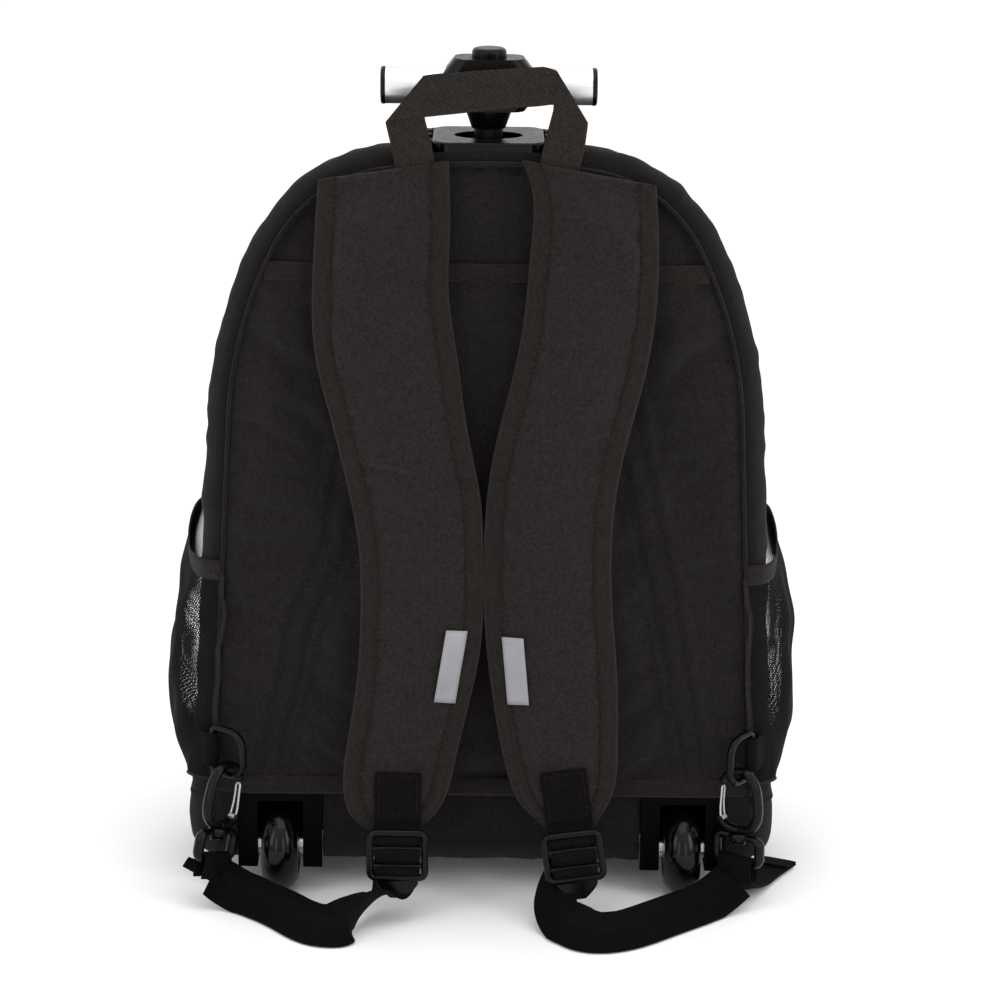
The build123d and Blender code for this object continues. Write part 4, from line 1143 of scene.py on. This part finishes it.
for word, tip in TIPS.items():
    strap = straps[word][0]
    aside = (cos(radians(tip["tilt"])), 0, sin(radians(tip["tilt"])))
    # Tab: down the strap's face, round the buckle's top bar and back under.
    line = []
    for height in np.linspace(tip["top"], 64, 12):
        x, _, z = tip_point(tip, 0, 0, height)
        line.append((x, float(front_of(strap, x, z, -20.0)[0]) - 1.6, z))
    line = np.array(line)
    line[:, 1] = np.linspace(line[0, 1], line[-1, 1], 12) - 0.3
    wrap = [
        tip_point(tip, 0, -50.6, 59), tip_point(tip, 0, -51.4, 56.5), tip_point(tip, 0, -50.0, 53.6),
        tip_point(tip, 0, -46.4, 54.2), tip_point(tip, 0, -44.6, 59),
    ]
    tabs.ribbon(spline(np.concatenate([line[::3], line[-1:], wrap]), 46), aside, 29.6, 1.9)
    box = []
    for across, height in (
        (-12.4, tip["top"] - 2.5), (12.4, tip["top"] - 2.5), (12.4, 72), (-12.4, 72),
        (-12.4, tip["top"] - 2.5),
    ):
        x, _, z = tip_point(tip, across, 0, height)
        y = np.interp(-z, -line[:, 2], line[:, 1]) - 1.05
        box.append((x, y, z))
    for a, b in zip(box[:-1], box[1:]):
        sewing.stitches(np.linspace(a, b, 12), (0, -1, 0), 2.3, 1.1, 0.4)
    # Buckle: rounded frame, two inner bars and a turned-up tongue.
    corner = 4.0
    outline = []
    for cx, cz, start in ((1, 1, 0), (-1, 1, 90), (-1, -1, 180), (1, -1, 270)):
        for angle in np.radians(np.linspace(start, start + 90, 7)):
            outline.append(
                ((18.0 - corner) * cx + corner * cos(angle), (15.6 - corner) * cz + corner * sin(angle))
            )
    loop = [tip_point(tip, x, -50.4, 46.0 + z) for x, z in outline]
    locks.tube(loop, 2.5, sides=12, closed=True, flat=0.95)
    for height, reach in ((50.6, 16.5), (38.6, 16.5)):
        locks.tube([tip_point(tip, x, -50.2, height) for x in np.linspace(-reach, reach, 8)], 1.9, sides=10)
    rows_front, rows_back = [], []
    for share in np.linspace(0, 1, 12):
        wide = 15.5 * (1 - 0.1 * share) if share < 0.35 else 15.0 - 10.5 * ((share - 0.35) / 0.65) ** 1.5
        height = 32.5 - 15.5 * share
        lift = -50.2 - 2.6 * share**2
        body = 1.7 - 0.6 * share
        across = np.linspace(-wide, wide, 9)
        round_off = np.sqrt(np.clip(1 - (across / wide) ** 4, 0, 1))
        rows_front.append([tip_point(tip, x, lift - body * r, height) for x, r in zip(across, round_off)])
        rows_back.append([tip_point(tip, x, lift + body * r, height) for x, r in zip(across, round_off)])
    locks.grid(pillow(np.array(rows_front), np.array(rows_back)), closed=True)
    # Webbing through the buckle: over the middle bars as two rolls.
    for high, low in ((52.4, 40.4), (40.2, 31.0)):
        roll = [
            tip_point(tip, 0, -47.5, high + 1.0), tip_point(tip, 0, -51.0, high - 1.5),
            tip_point(tip, 0, -52.9, (high + low) / 2), tip_point(tip, 0, -51.2, low + 1.5),
            tip_point(tip, 0, -47.5, low - 0.5),
        ]
        straight.ribbon(spline(roll, 22), aside, 28.5, 1.8)
tabs.make("strap_end_tabs", MATERIALS["shaded_webbing"], "webbing", replaces=["strap_tabs"])
sewing.make("tab_stitching", MATERIALS["thread"], "webbing")
lock_piece = locks.make(
    "ladder_lock_buckles", MATERIALS["black_plastic"], "black_plastic", replaces=["ladder_locks"],
)
refine(lock_piece)
straight.make("buckle_webbing", MATERIALS["shaded_webbing"], "webbing")


# ---------------------------------------------------------------- adjuster webbing on the floor
def web(path, directions, count=150):
    """Webbing ribbon whose width direction is given at each point of its path."""
    knots = np.array(path, float)
    gaps = np.r_[0, np.cumsum(np.linalg.norm(np.diff(knots, axis=0), axis=1))]
    line = spline(knots, count)
    at = np.linspace(0, gaps[-1], count)
    keys = np.array(directions, float)
    across = unit(np.stack([np.interp(at, gaps, keys[:, c]) for c in range(3)], axis=1))
    ahead = unit(np.gradient(line, axis=0))
    across = unit(across - ahead * (across * ahead).sum(axis=1, keepdims=True))
    line[:, 2] = np.maximum(line[:, 2], 15.0 * np.abs(across[:, 2]) + 1.2)
    return line, across


left_path = [(-55, -44.5, 40), (-57, -46, 28), (-64, -50, 20), (-75, -64, 16), (-84, -80, 13), (-92, -88, 9)]
left_path += [
    (-103, -86, 8.5), (-121, -67.5, 8.5), (-144, -41, 8.5), (-162, -30, 13), (-172, -29, 19),
    (-177, -30, 23),
]
left_across = [
    (1, 0, 0), (0.97, -0.1, 0.12), (0.8, -0.1, 0.5), (0.55, 0, 0.8), (0.2, 0.3, 0.9), (0.2, 0.6, 0.75),
]
left_across += [
    (0.45, 0.55, 0.65), (0.6, 0.54, 0.57), (0.62, 0.54, 0.55), (0.4, 0.5, 0.65), (0.2, 0.5, 0.8),
    (0, 0.5, 0.85),
]
right_path = [(60.5, -44.5, 40), (55, -46, 28), (50, -52, 20), (50, -66, 14), (57, -82, 10), (68, -91, 8.5)]
right_path += [
    (80, -91, 8.5), (95, -84, 8.5), (118, -64, 8.5), (142, -42, 8.5), (158, -28, 13), (168, -22, 20),
]
right_across = [(1, 0, 0.12), (1, 0, 0.1), (0.95, 0, 0.3), (0.8, 0.2, 0.6), (0.35, 0.5, 0.8), (0, 0.7, 0.7)]
right_across += [
    (-0.2, 0.75, 0.6), (-0.4, 0.7, 0.55), (-0.55, 0.61, 0.55), (-0.55, 0.61, 0.55), (-0.45, 0.6, 0.65),
    (-0.3, 0.6, 0.75),
]
left_web = Shape().ribbon(*web(left_path, left_across), 29.5, 1.8)
tail = [(-172, -31, 22), (-182, -29, 26), (-190, -28, 29), (-195, -27, 31)]
left_web.ribbon(*web(tail, [(0.1, 1, 0.3)] * 4, 40), np.linspace(16, 10, 40), 1.8)
left_web.make("adjuster_web_left", MATERIALS["shaded_webbing"], "webbing", replaces=["adjuster_webbing_left"])
right_web = Shape().ribbon(*web(right_path, right_across), 29.5, 1.8)
tail = [(163, -24, 16), (169, -9, 8), (181, 19, 3), (193, 43, 2), (203, 59, 2)]
tail_across = [
    (0.7, -0.3, 0.6), (0.85, -0.4, 0.3), (0.9, -0.43, 0.05), (0.9, -0.43, 0.05), (0.9, -0.43, 0.05),
]
right_web.ribbon(*web(tail, tail_across), 29.0, 1.8)
hem = [(196.5, 48.5, 3.4), (199.7, 53.7, 3.4), (203, 59, 3.4)]
right_web.ribbon(*web(hem, [(0.9, -0.43, 0.05)] * 3, 20), 28.6, 1.9)
right_web.make("adjuster_web_right", MATERIALS["shaded_webbing"], "webbing", replaces=["adjuster_webbing_right"])

# ---------------------------------------------------------------- rings, snap hooks and swivel eyes
RING_X, RING_Y, RING_LOW, RING_LINK = 177.0, -9.5, 88.5, 12.0
SIDES = {"left": (-1, 38.0, 15.0), "right": (1, 55.0, 0.0)}


def rounded_box(middle, half, corners, count=9):
    """Closed outline of a box with its own radius at each corner, from top right round to the left."""
    points = []
    for (right, high), turn, corner in zip(((1, 1), (-1, 1), (-1, -1), (1, -1)), (0, 90, 180, 270), corners):
        for angle in np.radians(np.linspace(turn, turn + 90, count)):
            x = middle[0] + (half[0] - corner) * right + corner * cos(angle)
            y = middle[1] + (half[1] - corner) * high + corner * sin(angle)
            points.append((x, y))
    points = np.array(points + points[:1])
    return even(points, 73)[:-1]


eyes = Shape()
eye_web = Shape()
ring_webs = Shape()
for word, (side, turn, lean) in SIDES.items():
    turn, lean = radians(turn), radians(lean)
    outward = np.array([-side * cos(turn), -sin(turn), 0])
    flat = np.array([side * sin(turn), -cos(turn), 0])
    plumb = np.array([0, 0, 1.0])
    corner = np.array([side * RING_X, RING_Y, RING_LOW])
    origin = corner + outward * RING_LINK
    up = plumb * cos(lean) - flat * sin(lean)
    spine = flat * cos(lean) + plumb * sin(lean)
    axle = np.cross(spine, up)

    def hook_point(x, y, z=0.0):
        """A place in the hook's own plane: x to the spine, y up the hook, z along its hinge pin."""
        return origin + spine * x + up * y + axle * z

    ring_line = [corner + outward * x + plumb * y for x, y in rounded_box((13, 15.5), (13, 15.5), (11,
        3.5, 3.5, 11))]
    ring = Shape().tube(ring_line, 2.0, sides=14, closed=True, flat=1.3, lay=flat)
    ring.make(
        f"ring_bar_{word}", MATERIALS["black_plastic"], "black_plastic", f"ring_{word}", [f"d_ring_{word}"],
    )

    bend = spline(
        [
            (-1, -33.6), (8, -32.2), (13.4, -25), (13.8, -12), (11.5, -1.5), (4.5, 5.8), (-4, 6.2),
            (-11, 1.6), (-13.4, -3.2),
        ],
        60,
    )
    body = Shape()
    widths = np.interp(np.linspace(0, 1, 60), [0, 0.2, 0.5, 0.8, 1], [2.6, 3.4, 3.2, 2.7, 2.6])
    body.tube([hook_point(x, y) for x, y in bend], widths, sides=14, flat=1.2, lay=axle)
    lug = spline([(1, -33.6), (-6, -33.2), (-11.6, -30.6), (-14.4, -26.6)], 16)
    for lift in (-3.1, 3.1):
        body.tube([hook_point(x, y, lift) for x, y in lug], 2.2, sides=10, flat=0.45, lay=axle)
    body.tube(
        [hook_point(-12.6, -28, z) for z in (-4.2, -3.9, 3.9, 4.2)], (1.1, 1.5, 1.5, 1.1), sides=12, lay=up,
    )
    body.tube([hook_point(0, y) for y in (-33, -36, -41.8)], 2.9, sides=14, lay=axle)
    body.tube(
        [hook_point(0, y) for y in (-41.8, -42.2, -43.8, -44.2)], (3.6, 4.8, 4.8, 3.8), sides=16, lay=axle,
    )
    body = body.make(
        f"hook_body_{word}", MATERIALS["black_plastic"], "black_plastic", f"hook_{word}",
        [f"snap_hook_{word}"],
    )
    refine(body)

    wire = [(-12.6, -28, 2.3), (-13.2, -24, 2.2), (-13.0, -9, 1.7), (-12.9, -6.2, 1.3), (-12.9, -5.2, 0)]
    wire += [(x, y, -z) for x, y, z in wire[-2::-1]]
    gate = Shape().tube([hook_point(*place) for place in spline(wire, 60)], 0.8, sides=10, lay=spine)
    turns = np.linspace(-2.3, 2.3, 60)
    coil = [hook_point(-12.6 + 1.7 * cos(6 * t), -28 + 1.7 * sin(6 * t), t) for t in turns]
    gate.tube(coil, 0.4, sides=8, lay=axle)
    gate.make(f"wire_gate_{word}", MATERIALS["steel"], "steel", f"gate_{word}", [f"hook_gate_{word}"])

    frame_line = rounded_box((0, -47.4), (16.2, 9.0), (5, 5, 5, 5))
    radii = 2.2 + 1.1 * (np.abs(frame_line[:, 0]) / 16.2) ** 4
    eyes.tube([hook_point(x, y) for x, y in frame_line], radii, sides=12, closed=True, flat=1.2, lay=axle)
    heights = (-35.4, -35.4, -36.2, -38.4, -40.6, -41.4, -41.4, -35.4)
    barrel = []
    for height, size in zip(heights, (3.1, 5.4, 6.3, 6.5, 6.3, 5.4, 3.1, 3.1)):
        circle = np.linspace(0, 2 * pi, 24, endpoint=False)
        barrel.append([hook_point(size * cos(t), height, size * sin(t)) for t in circle])
    eyes.grid(np.array(barrel), closed=True)

    front = -1.0 if axle[1] > 0 else 1.0
    wrap = [
        (-69, 3.4), (-64, 4.2), (-57, 4.7), (-53.6, 3.2), (-52.6, 0), (-53.6, -3.2), (-57, -4.7),
        (-64, -4.2), (-69, -3.4),
    ]
    path = [hook_point(0, y, z * front) for y, z in spline(wrap, 50)]
    eye_web.ribbon(path, spine, 25.0, 1.8)

    wrap = [(-13, 2.4), (-6, 3.0), (0, 3.3), (3.2, 0), (0, -3.3), (-6, -3.0), (-13, -2.4)]
    path = [corner + plumb * 15.5 + outward * x + flat * z for x, z in spline(wrap, 40)]
    ring_webs.ribbon(path, plumb, 22.5, 1.5)

eyes.make("swivel_eye_frames", MATERIALS["black_plastic"], "black_plastic", replaces=["swivel_eyes"])
eye_web.make("swivel_webbing_wraps", MATERIALS["shaded_webbing"], "webbing")
ring_webs.make("ring_webbing_tabs", MATERIALS["shaded_webbing"], "webbing", replaces=["ring_tabs"])

# ---------------------------------------------------------------- grab loop
LOOP_Y = -3.2
LOOP_Z = 494.2
LEAN = 0.2126


def loop_point(x, z, ahead=0.0):
    """A place on the leaning plane of the grab loop, ahead millimetres nearer the viewer."""
    return (x, LOOP_Y - (z - LOOP_Z) * LEAN - ahead, z)


def loop_sheet(low, high, ahead_low, ahead_high, rows=14, cols=40, wave=0.0, seed=0):
    """Webbing between two lines of the loop's plane, with its own thickness."""
    low, high = even(np.array(low, float), cols), even(np.array(high, float), cols)
    front, back = [], []
    for share in np.linspace(0, 1, rows):
        line = low + (high - low) * share
        ahead = np.linspace(*ahead_low, cols) * (1 - share) + np.linspace(*ahead_high, cols) * share
        ahead = ahead + wave * ripple(line[:, 0], line[:, 1], 30, seed)
        rim = 0.9 * (1 - (2 * share - 1) ** 8)
        front.append([loop_point(p[0], p[1], a + rim) for p, a in zip(line, ahead)])
        back.append([loop_point(p[0], p[1], a - rim) for p, a in zip(line, ahead)])
    return pillow(np.array(front), np.array(back))


handle = Shape()
handle.grid(
    loop_sheet(
        [(-58.5, 489), (-61, 504), (-64.8, 521), (-41, 551.5)],
        [(-33, 490), (-35, 503), (-40, 524), (-38.5, 552)], (0, 0.2), (0, 0.2),
    ),
    closed=True,
)
handle.grid(
    loop_sheet(
        [(32, 491), (35, 508), (40.2, 530), (42, 556.5)],
        [(57.5, 489), (60.5, 504), (62.4, 522), (42.2, 556)], (0, 2.4), (0, 2.4),
    ),
    closed=True,
)
handle.grid(
    loop_sheet(
        [(-64.5, 521.5), (-30, 526), (-5, 529), (30, 532.5), (50, 535)],
        [(-41, 551.8), (-30, 553.4), (0, 555.8), (34, 558.4), (41.5, 556.5)],
        (1.6, 1.2),
        (1.2, 1.2),
        wave=0.5,
        seed=71,
    ),
    closed=True,
)
handle.make("grab_loop_webbing", MATERIALS["webbing"], "webbing", "grab_loop", replaces=["grab_loop"])

# ---------------------------------------------------------------- mesh side pockets
NET_OUT = {
    -1: spline(
        [(64, 196), (86, 207), (106, 212), (144, 211), (183, 206), (222, 197.5), (242, 190), (255, 187)],
        80,
    ),
    1: spline(
        [
            (64, 195), (86, 205.5), (106, 209.5), (144, 209), (183, 207), (222, 195.5), (242, 190),
            (255, 187),
        ],
        80,
    ),
}


def pocket_line(side, height, count):
    """Plan of the net at one height, from the back seam round to the front."""
    bag = float(half_width(height, 0.0))
    reach = float(np.interp(height, NET_OUT[side][:, 0], NET_OUT[side][:, 1]))
    out = reach - bag
    knots = [(bag - 13.9, -1.0), (bag - 4.5, 2.3), (bag + 1.9, 10.2), (bag + 1.5 + 0.5 * out, 28)]
    knots += [(bag + 0.9 * out, 52), (bag + out, 78), (bag + 0.9 * out, 106), (bag + 0.45 * out + 1, 130)]
    knots.append((bag - 4.5, 145.5))
    line = spline(knots, count)
    line[:, 0] *= side
    return line


def band_height(depth):
    """The pocket's top edge rises from the back seam towards the front."""
    return 222.0 + 12.0 * smooth((depth - 20) / 90)


for side, word in ((-1, "left"), (1, "right")):
    cells_u, cells_v = 64, 54
    rows = []
    for j in range(2 * cells_v + 1):
        share = j / (2 * cells_v)
        line = pocket_line(side, 66 + (222 - 66) * share, 2 * cells_u + 1)
        low = 66 + 14 * (1 - smooth((line[:, 1] - 5) / 50))
        z = low + (band_height(line[:, 1]) - low) * share
        sag = 0.8 * ripple(line[:, 1], z, 48, 81 + side) * smooth((1 - share) * 5) * smooth(share * 8)
        rows.append(np.column_stack([line[:, 0] + side * sag, line[:, 1], z]))
    rows = np.array(rows)
    net = Shape()
    net.verts = rows.reshape(-1, 3).tolist()
    wide = 2 * cells_u + 1
    for j in range(1, 2 * cells_v):
        for i in range(1, 2 * cells_u):
            if (i + j) % 2:
                ring = [(j - 1) * wide + i, j * wide + i + 1, (j + 1) * wide + i, j * wide + i - 1]
                net.faces.append(ring)
                net.uvs.append([(0, 0), (0.002, 0), (0.002, 0.002), (0, 0.002)])
    net = net.make(f"mesh_pocket_net_{word}", MATERIALS["mesh"], "mesh", replaces=[f"mesh_pocket_{word}"])
    wire = net.modifiers.new("net", "WIREFRAME")
    wire.thickness = 0.72 * MM
    wire.use_even_offset = False
    band = Shape()
    path = pocket_line(side, 222, 60)
    path = np.column_stack([path[:, 0] + side * 0.4, path[:, 1], band_height(path[:, 1]) + 2.0])
    band.ribbon(path, (0, 0, 1), np.interp(path[:, 1], [0, 18, 40, 150], [13, 12, 5, 4]), 1.6)
    band.tube(rows[0], 1.2, sides=8)
    names = ["pocket_elastics"] if side < 0 else []
    band.make(f"mesh_pocket_band_{word}", MATERIALS["binding"], "binding", replaces=names)
    ends = Shape()
    for end in (0, -1):
        line = rows[:, end]
        ends.ribbon(line, (side * -0.7, 0.7 if end else -0.7, 0), 5.0, 1.2)
    ends.make(f"mesh_pocket_side_tape_{word}", MATERIALS["binding"], "binding")

# ---------------------------------------------------------------- front pocket
corner = 34.0
middle_z = (FP_LOW + FP_HIGH) / 2
tall = (FP_HIGH - FP_LOW) / 2
outline = []
for cx, cz, start in ((1, 1, 0), (-1, 1, 90), (-1, -1, 180), (1, -1, 270)):
    for angle in np.radians(np.linspace(start, start + 90, 10)):
        outline.append(
            (
                (POCKET_HALF - corner) * cx + corner * cos(angle),
                middle_z + (tall - corner) * cz + corner * sin(angle),
            )
        )
outline = even(np.array(outline + outline[:1]), 161)[:-1]
ahead = unit(np.roll(outline, -1, axis=0) - np.roll(outline, 1, axis=0))
outward = np.stack([ahead[:, 1], -ahead[:, 0]], axis=1)
rings = []
face_y = SHELL_FRONT + FP_DEEP
for inset, depth in [(2.0, 152.4), (0.3, 152.6), (0, 158), (0, 165), (0, 172)] + [
    tuple(p)
    for p in quarter((0, face_y - 14), (14, face_y - 0.4), "depth", 6)
]:
    line = outline - outward * inset
    rings.append(np.column_stack([line[:, 0], np.full(len(line), depth), line[:, 1]]))
core = outline - outward * 14
for share in np.linspace(1, 0.0, 26)[1:]:
    line = np.array([0, middle_z]) + (core - [0, middle_z]) * share
    rings.append(np.column_stack([line[:, 0], np.full(len(line), face_y - 0.4), line[:, 1]]))
closing = rings[0].copy()
shut = []
for share in np.linspace(0, 1, 6):
    line = np.array([0, middle_z]) + (closing[:, ::2] - [0, middle_z]) * share
    shut.append(np.column_stack([line[:, 0], np.full(len(line), 152.4), line[:, 1]]))
pocket = Shape().grid(np.array(shut[:-1] + rings), closed=True).make(
    "front_pocket_fabric", MATERIALS["panel"], "fabric", replaces=["front_pocket"]
)
points = lengths(pocket)
by_zip = (np.abs(points[:, 2] - 292) < 12) & (np.abs(points[:, 0]) < 134) & (points[:, 1] > 185)
held = (points[:, 1] < 156) | by_zip
inflate(pocket, np.nonzero(held)[0], 2.5, 0.03, 5.0)
points = lengths(pocket)
points[:, 1] = np.where(by_zip, np.minimum(points[:, 1], 191.6), points[:, 1])
put_back(pocket, points)
refine(pocket)

zip_line = Shape()
for low, high in ((280.5, 290.2), (293.8, 303.5)):
    x, z = np.meshgrid(np.linspace(-127, 127, 60), np.linspace(low, high, 4))
    zip_line.grid(np.stack([x, np.full_like(x, 193.0), z], axis=2), flip=True)
tape = zip_line.make("pocket_zip_tape", MATERIALS["zip_tape"], "zip_tape", replaces=["pocket_zip"])
solid = tape.modifiers.new("thickness", "SOLIDIFY")
solid.thickness = 0.9 * MM
count = 127 * 6
path = np.column_stack([np.linspace(-123, 123, count), np.full(count, 193.4), np.full(count, 292.0)])
teeth = 1.5 + 0.4 * np.sin(np.arange(count) * 2 * pi / 6)
Shape().tube(path, teeth, sides=8, flat=0.55, lay=(0, 1, 0)).make(
    "pocket_zip_coil", MATERIALS["zip_metal"], "zip_metal",
)

# ---------------------------------------------------------------- softened edges on the moulded parts
MOULDED = ["handle_hub", "crossbar_caps", "top_bezel", "release_button", "front_feet", "handle_stem"]
MOULDED += [
    "wheel_housing_left", "wheel_housing_right", "wheel_core_left", "wheel_core_right", "main_sliders",
]
for name in MOULDED:
    edge = frame["nodes"][name].modifiers.new("edges", "BEVEL")
    edge.width = 0.5 * MM
    edge.segments = 2
    edge.limit_method = "ANGLE"
    edge.angle_limit = radians(35)

# ---------------------------------------------------------------- floor, light and camera
floor_data = bpy.data.meshes.new("floor")
SIZE = 12.0
floor_data.from_pydata(
    [(-SIZE, -SIZE, 0), (SIZE, -SIZE, 0), (SIZE, SIZE, 0), (-SIZE, SIZE, 0)], [], [(0, 1, 2, 3)],
)
floor = bpy.data.objects.new("floor", floor_data)
bpy.context.scene.collection.objects.link(floor)
floor_look = Graph("pale_floor")
floor_data.materials.append(floor_look.finish((0.95, 0.95, 0.95, 1.0), 0.7, specular_ior_level=0.2))

HORIZON_LIGHT = 0.7
ZENITH_LIGHT = 1.35
world = bpy.data.worlds.new("studio")
bpy.context.scene.world = world
world.use_nodes = True
sky = world.node_tree
direction = sky.nodes.new("ShaderNodeTexCoord").outputs["Generated"]
split = sky.nodes.new("ShaderNodeSeparateXYZ")
sky.links.new(direction, split.inputs[0])
climb = sky.nodes.new("ShaderNodeMapRange")
climb.inputs["To Min"].default_value = HORIZON_LIGHT
climb.inputs["To Max"].default_value = ZENITH_LIGHT
sky.links.new(split.outputs[2], climb.inputs["Value"])
sky.links.new(climb.outputs[0], sky.nodes["Background"].inputs["Strength"])
sky.nodes["Background"].inputs["Color"].default_value = (1, 1, 1, 1)


def softbox(name, place, target, size, power):
    """Square area light at place, facing target, in metres and watts."""
    data = bpy.data.lights.new(name, "AREA")
    data.shape = "RECTANGLE"
    data.size, data.size_y = size
    data.energy = power
    lamp = bpy.data.objects.new(name, data)
    lamp.location = place
    lamp.rotation_euler = (Vector(target) - Vector(place)).to_track_quat("-Z", "Y").to_euler()
    bpy.context.scene.collection.objects.link(lamp)


softbox("top_light", (0.1, -0.5, 2.4), (0, 0, 0.2), (1.6, 1.6), 8)
softbox("left_light", (-1.7, -1.5, 1.2), (0, 0, 0.25), (0.6, 1.5), 7)
softbox("right_light", (1.8, -1.4, 1.2), (0, 0, 0.25), (0.6, 1.5), 11)
softbox("strip_left", (-0.75, -2.0, 0.7), (0, 0, 0.1), (0.05, 1.2), 3)
softbox("strip_right", (0.75, -2.0, 0.7), (0, 0, 0.1), (0.05, 1.2), 3)

CAMERA_BACK = 2.2
CAMERA_HIGH = 0.8879
PITCH = 16.2
ROLL = 0.6
camera_data = bpy.data.cameras.new("camera")
camera_data.sensor_width = 36
camera_data.lens = 126.8
camera_data.shift_x = 0.0157
camera_data.shift_y = 0.0366
camera = bpy.data.objects.new("camera", camera_data)
camera.matrix_world = (
    Matrix.Translation((0, BACK - CAMERA_BACK, CAMERA_HIGH))
    @ Matrix.Rotation(radians(90 - PITCH), 4, "X")
    @ Matrix.Rotation(radians(ROLL), 4, "Z")
)
bpy.context.scene.collection.objects.link(camera)
bpy.context.scene.camera = camera
bpy.context.scene.view_settings.view_transform = "Standard"
